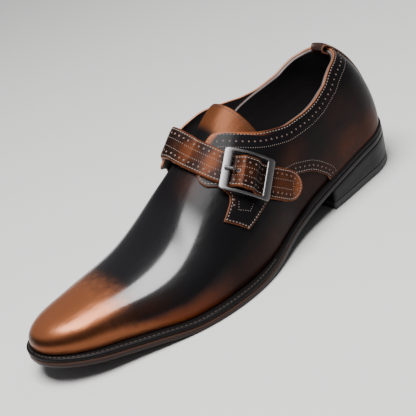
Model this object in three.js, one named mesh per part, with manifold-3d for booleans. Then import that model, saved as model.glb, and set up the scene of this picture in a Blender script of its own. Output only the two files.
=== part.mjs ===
// A left-foot monk strap shoe with a welted leather sole, a strap over the instep and a side buckle.
// Frame: +Z up from the floor, toe towards -Y, outer side of the foot towards +X, millimetres.
import * as THREE from 'three';
import { mergeVertices } from 'three/addons/utils/BufferGeometryUtils.js';
import Module from 'manifold-3d';

const wasm = await Module();
wasm.setup();

// Sole and last
const SOLE_LENGTH = 308;
const BALL_WIDTH = 100;
const TOE_INSWING = 8.4; // how far the toe turns to the inner side
const TOE_ROUND = 35; // length over which the toe closes
const HEEL_ROUND = 32.5; // length over which the heel closes
const TOE_POWER = 2.25; // 2 is an ellipse, more is squarer
const HEEL_POWER = 2.1;
const HEEL_RISE = 25.5; // underside of the sole above the floor at the back
const TOE_SPRING = 15.2; // underside of the sole above the floor at the toe
const OUTSOLE_THICKNESS = 4.2;
const WELT_THICKNESS = 2.8;
const WELT_TUCK = 8; // how far the welt runs in under the upper
const WELT_REACH_HEEL = 2.9; // how far the welt stands out past the upper
const WELT_REACH_WAIST = 2.2;
const WELT_REACH_BALL = 6.1;
const WELT_REACH_TOE = 3.5;
const GAP = 0.3; // between pieces that touch

// Heel
const HEEL_LENGTH = 78.6;
const HEEL_SIDE_TAPER = 3.1;
const HEEL_BACK_TAPER = 0.2;
const TOP_LIFT_THICKNESS = 6;

// Upper
const INSTEP_HEIGHT = 97.5; // top of the instep over the floor, at about two fifths of the length
const UPPER_WALL = 2;
const QUARTER_THICKNESS = 1.5;
const INSOLE_THICKNESS = 2.4;
const TONGUE_THICKNESS = 2.2;
const TONGUE_DEPTH = 1.2; // gap between the upper's inside and the tongue
const TONGUE_RISE = 1.2; // how far its free end stands up from there
const BACK_STRIP_WIDTH = 12; // at the sole
const BACK_TAB_WIDTH = 20; // over the collar
const BACK_STRIP_THICKNESS = 1.2;
const BACK_TAB_DROP = 12; // how far the back strip's tab goes down inside
const BACK_SEAM = 0.8; // gap between the quarters under the back strip
const QUARTER_STANDOFF = 8.5; // how far the inner quarter stands off the foot where the strap folds over

// Strap and buckle
const STRAP_WIDTH = 21.5;
const STRAP_THICKNESS = 2.4;
const STRAP_TIP_ROUND = 14;
const STRAP_HUMP_TOP = 2.6; // half length of the strap's level part over the centre bar
const STRAP_HUMP_FALL = 6.4; // length over which it comes down on each side
const PRONG_HOLE = 3.8;
const BUCKLE_LENGTH = 31.4; // along the strap
const BUCKLE_WIDTH = 29; // across the strap
const BUCKLE_BAR = 5.2; // width of the two flat bars
const BUCKLE_RAIL = 2; // width of the rails that join them
const BUCKLE_THICKNESS = 2;
const BUCKLE_CLEARANCE = 0.9; // between the strap and the two flat bars
const CENTRE_BAR_RADIUS = 0.9;
const PRONG_WIDTH = 2.2;
const PRONG_THICKNESS = 1.5;
const PRONG_RING = 0.8; // thickness of the ring on the centre bar
const CHAPE_WIDTH = 15;
const CHAPE_THICKNESS = 0.9;
const CHAPE_TAIL = 0.6; // share of the strap's fall that the chape lies under
const PRONG_TIP = 0.3; // share of the flat bar that the prong's tip stops short of

// Fineness of the faceted solids
const RIBS = 40;
const ROWS = 9;
const QUARTER_RIBS = 2; // for each row of its table
const TONGUE_RIBS = 8;
const TONGUE_ROWS = 10;
const HEEL_RIBS = 18;
const HEEL_ROWS = 3;

// along: share of the sole length. outer, inner: half widths as shares of the ball width.
const OUTLINE = [
  { along: 0, outer: 0.28, inner: 0.28 },
  { along: 0.12, outer: 0.305, inner: 0.315 },
  { along: 0.25, outer: 0.343, inner: 0.3 },
  { along: 0.38, outer: 0.383, inner: 0.25 },
  { along: 0.5, outer: 0.498, inner: 0.31 },
  { along: 0.62, outer: 0.543, inner: 0.44 },
  { along: 0.72, outer: 0.5, inner: 0.5 },
  { along: 0.82, outer: 0.4, inner: 0.46 },
  { along: 0.92, outer: 0.31, inner: 0.35 },
  { along: 1, outer: 0.258, inner: 0.27 },
];
// Height of the sole's underside: heel is a share of HEEL_RISE, toe a share of TOE_SPRING.
const UNDERSIDE = [
  { along: 0, heel: 1, toe: 0 },
  { along: 0.12, heel: 0.865, toe: 0 },
  { along: 0.25, heel: 0.66, toe: 0 },
  { along: 0.4, heel: 0.295, toe: 0 },
  { along: 0.52, heel: 0.035, toe: 0 },
  { along: 0.58, heel: 0, toe: 0 },
  { along: 0.7, heel: 0, toe: 0 },
  { along: 0.8, heel: 0, toe: 0.26 },
  { along: 0.9, heel: 0, toe: 0.585 },
  { along: 1, heel: 0, toe: 1 },
];
// The last's ridge line: height as a share of INSTEP_HEIGHT, side shift as a share of BALL_WIDTH.
const RIDGE = [
  { along: 0, height: 1.072, side: -0.008 },
  { along: 0.15, height: 1.107, side: -0.003 },
  { along: 0.3, height: 1.13, side: -0.035 },
  { along: 0.42, height: 1.015, side: -0.108 },
  { along: 0.5, height: 0.863, side: -0.099 },
  { along: 0.6, height: 0.69, side: -0.06 },
  { along: 0.7, height: 0.494, side: -0.046 },
  { along: 0.8, height: 0.422, side: -0.043 },
  { along: 0.9, height: 0.397, side: -0.04 },
  { along: 1, height: 0.365, side: -0.038 },
];
// How the wall swells between feather line and ridge: bulge as a share of BALL_WIDTH, and two powers.
const WALL = [
  { along: 0, bulge: 0.022, plan: 2.13, rise: 1.86 },
  { along: 0.12, bulge: 0.025, plan: 2.07, rise: 1.9 },
  { along: 0.35, bulge: 0.018, plan: 2, rise: 2 },
  { along: 0.65, bulge: 0.025, plan: 2.04, rise: 2 },
  { along: 0.88, bulge: 0.014, plan: 2.22, rise: 2.12 },
  { along: 1, bulge: 0.015, plan: 2.42, rise: 2.33 },
];
const HEEL_POLE = 0.178; // shares of the length between which the ridge line runs
const TOE_POLE = 0.93;

// Places on the upper: along is a share of the sole length, and round runs from the ridge (0) down to
// the feather line (1), positive on the outer side and negative on the inner side.
// The upper's opening, as the round of its edge on each side.
const OPENING = [
  { along: 0, outer: 0.318, inner: 0.318 },
  { along: 0.0155, outer: 0.346, inner: 0.33 },
  { along: 0.06, outer: 0.373, inner: 0.37 },
  { along: 0.1, outer: 0.4, inner: 0.396 },
  { along: 0.14, outer: 0.443, inner: 0.43 },
  { along: 0.19, outer: 0.513, inner: 0.479 },
  { along: 0.24, outer: 0.563, inner: 0.496 },
  { along: 0.266, outer: 0.571, inner: 0.498 },
  { along: 0.31, outer: 0.563, inner: 0.5 },
  { along: 0.351, outer: 0.519, inner: 0.52 },
  { along: 0.388, outer: 0.452, inner: 0.53 },
  { along: 0.421, outer: 0.36, inner: 0.5 },
  { along: 0.451, outer: 0.27, inner: 0.44 },
  { along: 0.48, outer: 0.18, inner: 0.3 },
  { along: 0.505, outer: 0, inner: 0 },
];
// Quarters: each row is a rib from the top or front edge to the lower edge.
const OUTER_QUARTER = [
  { topAlong: 0, topRound: 0.318, lowAlong: 0, lowRound: 1 },
  { topAlong: 0.004, topRound: 0.327, lowAlong: 0.006, lowRound: 1 },
  { topAlong: 0.0155, topRound: 0.346, lowAlong: 0.023, lowRound: 1 },
  { topAlong: 0.035, topRound: 0.36, lowAlong: 0.053, lowRound: 1 },
  { topAlong: 0.06, topRound: 0.373, lowAlong: 0.097, lowRound: 1 },
  { topAlong: 0.1, topRound: 0.4, lowAlong: 0.146, lowRound: 1 },
  { topAlong: 0.14, topRound: 0.443, lowAlong: 0.188, lowRound: 1 },
  { topAlong: 0.19, topRound: 0.513, lowAlong: 0.227, lowRound: 1 },
  { topAlong: 0.227, topRound: 0.555, lowAlong: 0.25, lowRound: 1 },
  { topAlong: 0.266, topRound: 0.571, lowAlong: 0.257, lowRound: 0.966 },
  { topAlong: 0.31, topRound: 0.563, lowAlong: 0.274, lowRound: 0.92 },
  { topAlong: 0.351, topRound: 0.519, lowAlong: 0.298, lowRound: 0.868 },
  { topAlong: 0.388, topRound: 0.451, lowAlong: 0.328, lowRound: 0.828 },
  { topAlong: 0.421, topRound: 0.346, lowAlong: 0.347, lowRound: 0.804 },
  { topAlong: 0.449, topRound: 0.215, lowAlong: 0.364, lowRound: 0.79 },
  { topAlong: 0.46, topRound: 0.178, lowAlong: 0.373, lowRound: 0.78 },
  { topAlong: 0.478, topRound: 0.164, lowAlong: 0.386, lowRound: 0.77 },
  { topAlong: 0.51, topRound: 0.183, lowAlong: 0.403, lowRound: 0.76 },
  { topAlong: 0.538, topRound: 0.219, lowAlong: 0.419, lowRound: 0.75 },
  { topAlong: 0.546, topRound: 0.27, lowAlong: 0.429, lowRound: 0.745 },
  { topAlong: 0.544, topRound: 0.315, lowAlong: 0.437, lowRound: 0.741 },
  { topAlong: 0.527, topRound: 0.395, lowAlong: 0.455, lowRound: 0.737 },
  { topAlong: 0.52, topRound: 0.483, lowAlong: 0.477, lowRound: 0.733 },
  { topAlong: 0.526, topRound: 0.513, lowAlong: 0.487, lowRound: 0.731 },
  { topAlong: 0.564, topRound: 0.557, lowAlong: 0.523, lowRound: 0.726 },
];
const INNER_QUARTER = [
  { topAlong: 0, topRound: 0.318, lowAlong: 0, lowRound: 1 },
  { topAlong: 0.004, topRound: 0.321, lowAlong: 0.006, lowRound: 1 },
  { topAlong: 0.0155, topRound: 0.33, lowAlong: 0.023, lowRound: 1 },
  { topAlong: 0.035, topRound: 0.347, lowAlong: 0.053, lowRound: 1 },
  { topAlong: 0.06, topRound: 0.37, lowAlong: 0.097, lowRound: 1 },
  { topAlong: 0.1, topRound: 0.396, lowAlong: 0.146, lowRound: 1 },
  { topAlong: 0.14, topRound: 0.43, lowAlong: 0.188, lowRound: 1 },
  { topAlong: 0.19, topRound: 0.479, lowAlong: 0.227, lowRound: 1 },
  { topAlong: 0.24, topRound: 0.496, lowAlong: 0.25, lowRound: 1 },
  { topAlong: 0.29, topRound: 0.469, lowAlong: 0.266, lowRound: 0.94 },
  { topAlong: 0.34, topRound: 0.403, lowAlong: 0.3, lowRound: 0.868 },
  { topAlong: 0.38, topRound: 0.335, lowAlong: 0.35, lowRound: 0.8 },
  { topAlong: 0.41, topRound: 0.295, lowAlong: 0.4, lowRound: 0.72 },
  { topAlong: 0.435, topRound: 0.275, lowAlong: 0.45, lowRound: 0.62 },
  { topAlong: 0.466, topRound: 0.25, lowAlong: 0.487, lowRound: 0.52 },
  { topAlong: 0.494, topRound: 0.24, lowAlong: 0.513, lowRound: 0.43 },
  { topAlong: 0.52, topRound: 0.245, lowAlong: 0.532, lowRound: 0.35 },
  { topAlong: 0.54, topRound: 0.255, lowAlong: 0.542, lowRound: 0.3 },
];
// Share of QUARTER_STANDOFF along the shoe, and the share round the foot.
const STANDOFF_ALONG = [
  { along: 0.3, lift: 0 },
  { along: 0.36, lift: 0.16 },
  { along: 0.42, lift: 0.72 },
  { along: 0.466, lift: 1 },
  { along: 0.52, lift: 0.72 },
  { along: 0.56, lift: 0.45 },
  { along: 0.62, lift: 0 },
];
const STANDOFF_ROUND = [
  { round: -0.8, lift: 0 },
  { round: -0.55, lift: 0.4 },
  { round: -0.32, lift: 0.92 },
  { round: -0.2, lift: 1 },
  { round: -0.1, lift: 0.72 },
  { round: 0, lift: 0.3 },
  { round: 0.12, lift: 0 },
];
// The strap's middle line from its sewn end on the inner side to its tip on the outer side.
const STRAP_LINE = [
  { along: 0.485, round: -0.52 },
  { along: 0.496, round: -0.22 },
  { along: 0.508, round: 0.03 },
  { along: 0.507, round: 0.2 },
  { along: 0.494, round: 0.37 },
  { along: 0.464, round: 0.53 },
  { along: 0.425, round: 0.685 },
  { along: 0.35, round: 0.87 },
];
const BUCKLE_ROUND = 0.525; // where the buckle's centre bar lies on the strap's middle line
// The tongue: its two side edges, from the vamp up to its free end.
const TONGUE = [
  { innerAlong: 0.56, inner: -0.17, outerAlong: 0.56, outer: 0.3 },
  { innerAlong: 0.5, inner: -0.24, outerAlong: 0.5, outer: 0.42 },
  { innerAlong: 0.45, inner: -0.29, outerAlong: 0.45, outer: 0.46 },
  { innerAlong: 0.412, inner: -0.33, outerAlong: 0.377, outer: 0.47 },
];
const TONGUE_CORNER = 0.02; // how far the inner corner of the free end is rounded off, share of length
const TONGUE_CORNER_PART = 0.2; // share of its width over which that corner is rounded
const TONGUE_LIFT_LENGTH = 0.07; // share of the sole length over which it rises
const TONGUE_FREE = 0.08; // round up to which it rises in full
const TONGUE_HELD = 0.33; // round from which it doesn't rise
const TONGUE_LEAVES = 0.49; // share of the length at which the tongue starts to rise off the foot

// Curves through tables
function naturalSpline(xs, ys) {
  const n = xs.length;
  const bend = new Array(n).fill(0);
  const diag = new Array(n).fill(1);
  const rhs = new Array(n).fill(0);
  for (let i = 1; i < n - 1; i += 1) {
    const h0 = xs[i] - xs[i - 1];
    const h1 = xs[i + 1] - xs[i];
    const carry = i > 1 ? h0 / diag[i - 1] : 0;
    diag[i] = 2 * (h0 + h1) - carry * h0;
    rhs[i] = 6 * ((ys[i + 1] - ys[i]) / h1 - (ys[i] - ys[i - 1]) / h0) - carry * rhs[i - 1];
  }
  for (let i = n - 2; i > 0; i -= 1) bend[i] = (rhs[i] - (xs[i + 1] - xs[i]) * bend[i + 1]) / diag[i];
  return (x) => {
    const k = segmentOf(xs, x);
    const h = xs[k + 1] - xs[k];
    const a = (xs[k + 1] - x) / h;
    const b = 1 - a;
    const curl = ((a ** 3 - a) * bend[k] + (b ** 3 - b) * bend[k + 1]) * h * h / 6;
    return a * ys[k] + b * ys[k + 1] + curl;
  };
}

function monotoneSpline(xs, ys) {
  const n = xs.length;
  const slope = [];
  for (let i = 0; i < n - 1; i += 1) slope.push((ys[i + 1] - ys[i]) / (xs[i + 1] - xs[i]));
  const tangent = new Array(n).fill(0);
  tangent[0] = slope[0];
  tangent[n - 1] = slope[n - 2];
  for (let i = 1; i < n - 1; i += 1) {
    if (slope[i - 1] * slope[i] <= 0) continue;
    const h0 = xs[i] - xs[i - 1];
    const h1 = xs[i + 1] - xs[i];
    tangent[i] = 3 * (h0 + h1) / ((2 * h1 + h0) / slope[i - 1] + (h1 + 2 * h0) / slope[i]);
  }
  return (raw) => {
    const x = THREE.MathUtils.clamp(raw, xs[0], xs[n - 1]);
    const k = segmentOf(xs, x);
    const h = xs[k + 1] - xs[k];
    const t = (x - xs[k]) / h;
    const start = (1 + 2 * t) * (1 - t) ** 2 * ys[k] + t * (1 - t) ** 2 * h * tangent[k];
    return start + t * t * (3 - 2 * t) * ys[k + 1] + t * t * (t - 1) * h * tangent[k + 1];
  };
}

function segmentOf(xs, x) {
  let k = 0;
  while (k < xs.length - 2 && x > xs[k + 1]) k += 1;
  return k;
}

function column(table, name, scale = 1) {
  return table.map((row) => row[name] * scale);
}

const alongOf = (table) => column(table, 'along', SOLE_LENGTH);
const outerHalf = naturalSpline(alongOf(OUTLINE), column(OUTLINE, 'outer', BALL_WIDTH));
const innerHalf = naturalSpline(alongOf(OUTLINE), column(OUTLINE, 'inner', BALL_WIDTH));
const underside = monotoneSpline(
  alongOf(UNDERSIDE),
  UNDERSIDE.map((row) => row.heel * HEEL_RISE + row.toe * TOE_SPRING),
);
const ridgeHeight = naturalSpline(alongOf(RIDGE), column(RIDGE, 'height', INSTEP_HEIGHT));
const ridgeSide = naturalSpline(alongOf(RIDGE), column(RIDGE, 'side', BALL_WIDTH));
const wallBulge = naturalSpline(alongOf(WALL), column(WALL, 'bulge', BALL_WIDTH));
const planPower = naturalSpline(alongOf(WALL), column(WALL, 'plan'));
const risePower = naturalSpline(alongOf(WALL), column(WALL, 'rise'));
const openOuter = monotoneSpline(alongOf(OPENING), column(OPENING, 'outer'));
const openInner = monotoneSpline(alongOf(OPENING), column(OPENING, 'inner'));
const liftAlong = monotoneSpline(alongOf(STANDOFF_ALONG), column(STANDOFF_ALONG, 'lift'));
const liftRound = monotoneSpline(column(STANDOFF_ROUND, 'round'), column(STANDOFF_ROUND, 'lift'));
const weltReach = monotoneSpline(
  [0, 0.22, 0.4, 0.6, 0.85, 1].map((share) => share * SOLE_LENGTH),
  [WELT_REACH_HEEL, WELT_REACH_HEEL, WELT_REACH_WAIST, WELT_REACH_BALL, WELT_REACH_BALL, WELT_REACH_TOE],
);
const welttop = (s) => underside(s) + OUTSOLE_THICKNESS + GAP + WELT_THICKNESS;

// Turn is -1 to 1 round the outline: 0 at the heel, -1 and 1 at the toe, positive on the outer side.
const stationOf = (turn) => SOLE_LENGTH * (0.5 - 0.5 * Math.cos(Math.PI * Math.abs(turn)));
const turnOf = (s) => Math.acos(THREE.MathUtils.clamp(1 - 2 * s / SOLE_LENGTH, -1, 1)) / Math.PI;
const wrapTurn = (turn) => turn - 2 * Math.floor((turn + 1) / 2);

function outlinePoint(rawTurn) {
  const turn = wrapTurn(rawTurn);
  const s = stationOf(turn);
  const toe = THREE.MathUtils.clamp((s - (SOLE_LENGTH - TOE_ROUND)) / TOE_ROUND, 0, 1);
  const heel = THREE.MathUtils.clamp((HEEL_ROUND - s) / HEEL_ROUND, 0, 1);
  const close = Math.max(1 - toe ** TOE_POWER, 0) ** (1 / TOE_POWER)
    * Math.max(1 - heel ** HEEL_POWER, 0) ** (1 / HEEL_POWER);
  const inswing = TOE_INSWING * THREE.MathUtils.clamp((s / SOLE_LENGTH - 0.55) / 0.45, 0, 1) ** 2;
  const half = turn >= 0 ? outerHalf(s) : -innerHalf(s);
  return new THREE.Vector2(half * close - inswing, -s);
}

function outlineNormal(turn) {
  const step = 1e-3;
  const along = outlinePoint(turn + step).sub(outlinePoint(turn - step)).normalize();
  return new THREE.Vector2(-along.y, along.x);
}

// The edge of the sole moved inwards in plan.
function insetOutline(turn, inset) {
  return outlinePoint(turn).addScaledVector(outlineNormal(turn), -inset);
}

const featherPoint = (turn, inset = 0) => insetOutline(turn, weltReach(stationOf(wrapTurn(turn))) + inset);
const poleStation = (s) => THREE.MathUtils.clamp(s, HEEL_POLE * SOLE_LENGTH, TOE_POLE * SOLE_LENGTH);

// The last's surface: from the feather line (rise 0) to the ridge (rise 1), a profile carried round
// the outline. In plan the wall goes from feather to ridge, and in height it rises as a rounded arch.
function lastPoint(turn, rise) {
  const foot = featherPoint(turn);
  const s = stationOf(wrapTurn(turn));
  const foreStation = -foot.y;
  const angle = rise * Math.PI / 2;
  const across = 1 - Math.max(Math.cos(angle), 0) ** (2 / planPower(foreStation));
  const ridge = new THREE.Vector2(ridgeSide(poleStation(s)), -poleStation(s));
  const plan = foot.clone().lerp(ridge, across);
  plan.addScaledVector(outlineNormal(turn), wallBulge(foreStation) * Math.sin(2 * angle));
  const base = welttop(foreStation) + GAP;
  const lift = Math.sin(angle) ** (2 / risePower(foreStation));
  return new THREE.Vector3(plan.x, plan.y, base + (ridgeHeight(-plan.y) - base) * lift);
}

function lastNormal(turn, rise) {
  const step = 1e-3;
  if (rise > 0.9995) {
    const s = poleStation(stationOf(wrapTurn(turn)));
    const slope = ridgeHeight(s + 0.5) - ridgeHeight(s - 0.5);
    return new THREE.Vector3(0, slope, 1).normalize();
  }
  const low = Math.min(rise, 0.985);
  const round = lastPoint(turn + step, low).sub(lastPoint(turn - step, low));
  const up = lastPoint(turn, Math.min(rise + step, 1)).sub(lastPoint(turn, Math.max(rise - step, 0)));
  return up.cross(round).normalize();
}

// A place on the upper by station and round, moved off the last along its normal.
function onLast(s, round, off = 0, leastTurn = 0) {
  const turn = Math.max(turnOf(s), leastTurn) * (round < 0 ? -1 : 1);
  return offLast(turn, 1 - Math.abs(round), off);
}

function offLast(turn, rise, off) {
  const p = lastPoint(turn, rise).addScaledVector(lastNormal(turn, rise), off);
  p.z = Math.max(p.z, welttop(-p.y) + GAP);
  return p;
}

const standoff = (s, round) => QUARTER_STANDOFF * liftAlong(s) * liftRound(round);

// Meshes
function geometryOf(points, triangles) {
  const geometry = new THREE.BufferGeometry();
  geometry.setAttribute('position', new THREE.Float32BufferAttribute(points.flatMap((p) => [p.x, p.y, p.z]), 3));
  geometry.setIndex(triangles);
  return closeUp(geometry);
}

// Merges shared corners, drops faces that have shrunk to a line and turns a mesh that is inside out.
function closeUp(raw) {
  const geometry = raw.clone();
  geometry.deleteAttribute('normal');
  geometry.deleteAttribute('uv');
  const merged = mergeVertices(geometry, 1e-4);
  const index = merged.getIndex().array;
  const place = merged.getAttribute('position');
  const kept = [];
  let volume = 0;
  const corner = [new THREE.Vector3(), new THREE.Vector3(), new THREE.Vector3()];
  for (let i = 0; i < index.length; i += 3) {
    const [a, b, c] = [index[i], index[i + 1], index[i + 2]];
    if (a === b || b === c || c === a) continue;
    kept.push(a, b, c);
    [a, b, c].forEach((v, k) => corner[k].fromBufferAttribute(place, v));
    volume += corner[0].dot(corner[1].clone().cross(corner[2]));
  }
  if (volume < 0) {
    for (let i = 0; i < kept.length; i += 3) [kept[i], kept[i + 1]] = [kept[i + 1], kept[i]];
  }
  merged.setIndex(kept);
  return merged;
}

// A closed slab between two grids of the same size. loop joins the last column to the first, and
// rim(i) says whether the slab has an edge face beside the last row between columns i and i + 1.
function slab(columns, rows, upperAt, lowerAt, { loop = false, rim = () => true } = {}) {
  const count = loop ? columns : columns + 1;
  const points = [];
  for (const at of [upperAt, lowerAt]) {
    for (let i = 0; i < count; i += 1) for (let j = 0; j <= rows; j += 1) points.push(at(i, j));
  }
  const half = count * (rows + 1);
  const id = (side, i, j) => side * half + (i % count) * (rows + 1) + j;
  const triangles = [];
  const quad = (a, b, c, d) => triangles.push(a, b, c, a, c, d);
  for (let i = 0; i < columns; i += 1) {
    for (let j = 0; j < rows; j += 1) {
      quad(id(0, i, j), id(0, i + 1, j), id(0, i + 1, j + 1), id(0, i, j + 1));
      quad(id(1, i, j), id(1, i, j + 1), id(1, i + 1, j + 1), id(1, i + 1, j));
    }
    quad(id(0, i, 0), id(1, i, 0), id(1, i + 1, 0), id(0, i + 1, 0));
    if (rim(i)) quad(id(0, i, rows), id(0, i + 1, rows), id(1, i + 1, rows), id(1, i, rows));
  }
  if (!loop) {
    for (let j = 0; j < rows; j += 1) {
      quad(id(0, 0, j), id(0, 0, j + 1), id(1, 0, j + 1), id(1, 0, j));
      quad(id(0, columns, j), id(1, columns, j), id(1, columns, j + 1), id(0, columns, j + 1));
    }
  }
  return geometryOf(points, triangles);
}

function solidOf(geometry) {
  const closed = closeUp(geometry);
  return new wasm.Manifold(new wasm.Mesh({
    numProp: 3,
    vertProperties: new Float32Array(closed.getAttribute('position').array),
    triVerts: new Uint32Array(closed.getIndex().array),
  }));
}

function geometryOfSolid(solid) {
  const mesh = solid.getMesh();
  const geometry = new THREE.BufferGeometry();
  geometry.setAttribute('position', new THREE.BufferAttribute(Float32Array.from(mesh.vertProperties), 3));
  geometry.setIndex(Array.from(mesh.triVerts));
  return geometry;
}

// Bends a flat shape: each corner goes where place(x, y, z) says.
function bent(geometry, place) {
  const position = geometry.getAttribute('position');
  const points = [];
  for (let i = 0; i < position.count; i += 1) {
    points.push(place(position.getX(i), position.getY(i), position.getZ(i)));
  }
  return geometryOf(points, Array.from(geometry.getIndex().array));
}

// Sole
function plateAt(low, high, insetOf) {
  const turns = Array.from({ length: RIBS + 1 }, (_, i) => i / RIBS);
  const rows = 2;
  const at = (height) => (i, j) => {
    const s = stationOf(turns[i]);
    const inner = insetOutline(-turns[i], insetOf(s));
    const outer = insetOutline(turns[i], insetOf(s));
    const p = inner.lerp(outer, j / rows);
    return new THREE.Vector3(p.x, p.y, height(-p.y));
  };
  return slab(RIBS, rows, at(high), at(low));
}

const outsole = () => plateAt(underside, (s) => underside(s) + OUTSOLE_THICKNESS, () => 0);

function welt() {
  const columns = 2 * RIBS;
  const low = (s) => underside(s) + OUTSOLE_THICKNESS + GAP;
  const at = (height) => (i, j) => {
    const turn = -1 + i * 2 / columns;
    const p = j === 0 ? outlinePoint(turn) : featherPoint(turn, WELT_TUCK);
    return new THREE.Vector3(p.x, p.y, height(-p.y));
  };
  return slab(columns, 1, at(welttop), at(low), { loop: true });
}

function insole() {
  const inset = UPPER_WALL + 2 * GAP;
  const low = (s) => welttop(s) + GAP;
  return plateAt(low, (s) => low(s) + INSOLE_THICKNESS, (s) => weltReach(s) + inset);
}

// Heel block between two heights: the outline draws in towards the floor.
function heelLayer(lowOf, highOf) {
  const ribs = HEEL_RIBS;
  const rows = HEEL_ROWS;
  const last = turnOf(HEEL_LENGTH);
  const top = (s) => underside(s) - GAP;
  const at = (heightOf) => (i, j) => {
    const turn = last * i / ribs;
    const s = Math.min(stationOf(turn), HEEL_LENGTH);
    const height = heightOf(s);
    const drawn = 1 - height / top(s);
    const side = (t) => {
      const n = outlineNormal(t);
      const taper = HEEL_SIDE_TAPER * n.x ** 2 + HEEL_BACK_TAPER * n.y ** 2;
      return outlinePoint(t).addScaledVector(n, -taper * drawn);
    };
    const p = side(-turn).lerp(side(turn), j / rows);
    return new THREE.Vector3(p.x, p.y, height);
  };
  return slab(ribs, rows, at(highOf), at(lowOf));
}

const heelStack = () => heelLayer(() => TOP_LIFT_THICKNESS + GAP, (s) => underside(s) - GAP);
const topLift = () => heelLayer(() => 0, () => TOP_LIFT_THICKNESS);

// Upper: one hollow wall from the feather line to the opening's edge, or to the ridge before it.
function upper() {
  const side = Array.from({ length: RIBS + 1 }, (_, i) => i / RIBS);
  for (const row of OPENING.slice(-5)) side.push(turnOf(row.along * SOLE_LENGTH));
  side.sort((a, b) => a - b);
  const close = 0.3 / RIBS;
  const throat = turnOf(OPENING.at(-1).along * SOLE_LENGTH);
  const outer = side.filter((t, i) => t === throat || i === 0 || t - side[i - 1] > close);
  const turns = [...outer.slice(1).reverse().map((t) => -t), ...outer.slice(0, -1)];
  const isOpen = (turn) => Math.abs(turn) < throat - 1e-9;
  const crest = (turn) => {
    if (!isOpen(turn)) return 1;
    return 1 - (turn < 0 ? openInner : openOuter)(stationOf(turn));
  };
  const at = (off) => (i, j) => offLast(turns[i], crest(turns[i]) * j / ROWS, off);
  const rim = (i) => isOpen(turns[i]) || isOpen(turns[(i + 1) % turns.length]);
  return slab(turns.length, ROWS, at(0), at(-UPPER_WALL), { loop: true, rim });
}

// Quarter: ribs between its two edges, laid over the upper.
function quarter(table, sign) {
  const ribs = (table.length - 1) * QUARTER_RIBS;
  const rows = ROWS;
  const index = table.map((_, i) => i);
  const curve = (values) => monotoneSpline(index, values);
  const turns = (name) => curve(column(table, name, SOLE_LENGTH).map(turnOf));
  const [topTurn, lowTurn] = ['topAlong', 'lowAlong'].map(turns);
  const [topRound, lowRound] = ['topRound', 'lowRound'].map((name) => curve(column(table, name)));
  const seamTurn = BACK_SEAM / 2 / lastPoint(1e-3, 0).distanceTo(lastPoint(0, 0)) * 1e-3;
  const at = (off) => (i, j) => {
    const t = i / QUARTER_RIBS;
    const k = j / rows;
    const s = stationOf(THREE.MathUtils.lerp(lowTurn(t), topTurn(t), k));
    const round = THREE.MathUtils.lerp(lowRound(t), topRound(t), k) * sign;
    return onLast(s, round, off + (sign < 0 ? standoff(s, round) : 0), seamTurn);
  };
  return slab(ribs, rows, at(GAP + QUARTER_THICKNESS), at(GAP));
}

function tongue() {
  const ribs = TONGUE_RIBS;
  const rows = TONGUE_ROWS;
  const last = TONGUE.length - 1;
  const curve = (name) => monotoneSpline(TONGUE.map((_, i) => i), column(TONGUE, name));
  const [innerAlong, inner, outerAlong, outer] = ['innerAlong', 'inner', 'outerAlong', 'outer'].map(curve);
  const low = -(UPPER_WALL + TONGUE_DEPTH);
  const at = (off) => (i, j) => {
    const t = last * i / ribs;
    const k = j / rows;
    const corner = TONGUE_CORNER * Math.max(1 - k / TONGUE_CORNER_PART, 0) ** 2 * (i / ribs) ** 4;
    const along = THREE.MathUtils.lerp(innerAlong(t), outerAlong(t), k) + corner;
    const round = THREE.MathUtils.lerp(inner(t), outer(t), k);
    const free = THREE.MathUtils.smoothstep(TONGUE_LEAVES - along, 0, TONGUE_LIFT_LENGTH);
    const rise = TONGUE_RISE * free * (1 - THREE.MathUtils.smoothstep(round, TONGUE_FREE, TONGUE_HELD));
    return onLast(along * SOLE_LENGTH, round, off + rise);
  };
  return slab(ribs, rows, at(low), at(low - TONGUE_THICKNESS));
}

// Strap: its middle line on the upper, measured in millimetres from the buckle's centre bar.
const strapSteps = 240;
const strapRow = STRAP_LINE.map((_, i) => i);
const strapAlong = naturalSpline(strapRow, column(STRAP_LINE, 'along', SOLE_LENGTH));
const strapRound = naturalSpline(strapRow, column(STRAP_LINE, 'round'));
const strapTable = [];
for (let i = 0; i <= strapSteps; i += 1) {
  const t = i * (STRAP_LINE.length - 1) / strapSteps;
  const point = onLast(strapAlong(t), strapRound(t));
  const before = strapTable.at(-1);
  strapTable.push({ t, point, far: before ? before.far + point.distanceTo(before.point) : 0 });
}
const buckleFar = strapTable.find((row) => strapRound(row.t) >= BUCKLE_ROUND).far;
const strapStart = -buckleFar;
const strapEnd = strapTable.at(-1).far - buckleFar;

function strapParameter(u) {
  const far = THREE.MathUtils.clamp(u + buckleFar, 0, strapTable.at(-1).far);
  const k = Math.min(strapTable.findIndex((row) => row.far >= far - 1e-9), strapSteps) || 1;
  const [a, b] = [strapTable[k - 1], strapTable[k]];
  return a.t + (b.t - a.t) * (far - a.far) / (b.far - a.far);
}

// Directions at u: along the strap, across it (towards the toe) and off the foot.
function strapAxes(u) {
  const t = strapParameter(u);
  const e = 0.02;
  const place = (at) => onLast(strapAlong(at), strapRound(at));
  const origin = place(t);
  const forward = place(Math.min(t + e, STRAP_LINE.length - 1)).sub(place(Math.max(t - e, 0))).normalize();
  const round = strapRound(t);
  const turn = turnOf(strapAlong(t)) * (round < 0 ? -1 : 1);
  const normal = lastNormal(turn, 1 - Math.abs(round));
  const across = normal.clone().cross(forward).normalize();
  if (across.y > 0) across.negate();
  return { t, origin, forward, normal, across };
}

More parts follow.
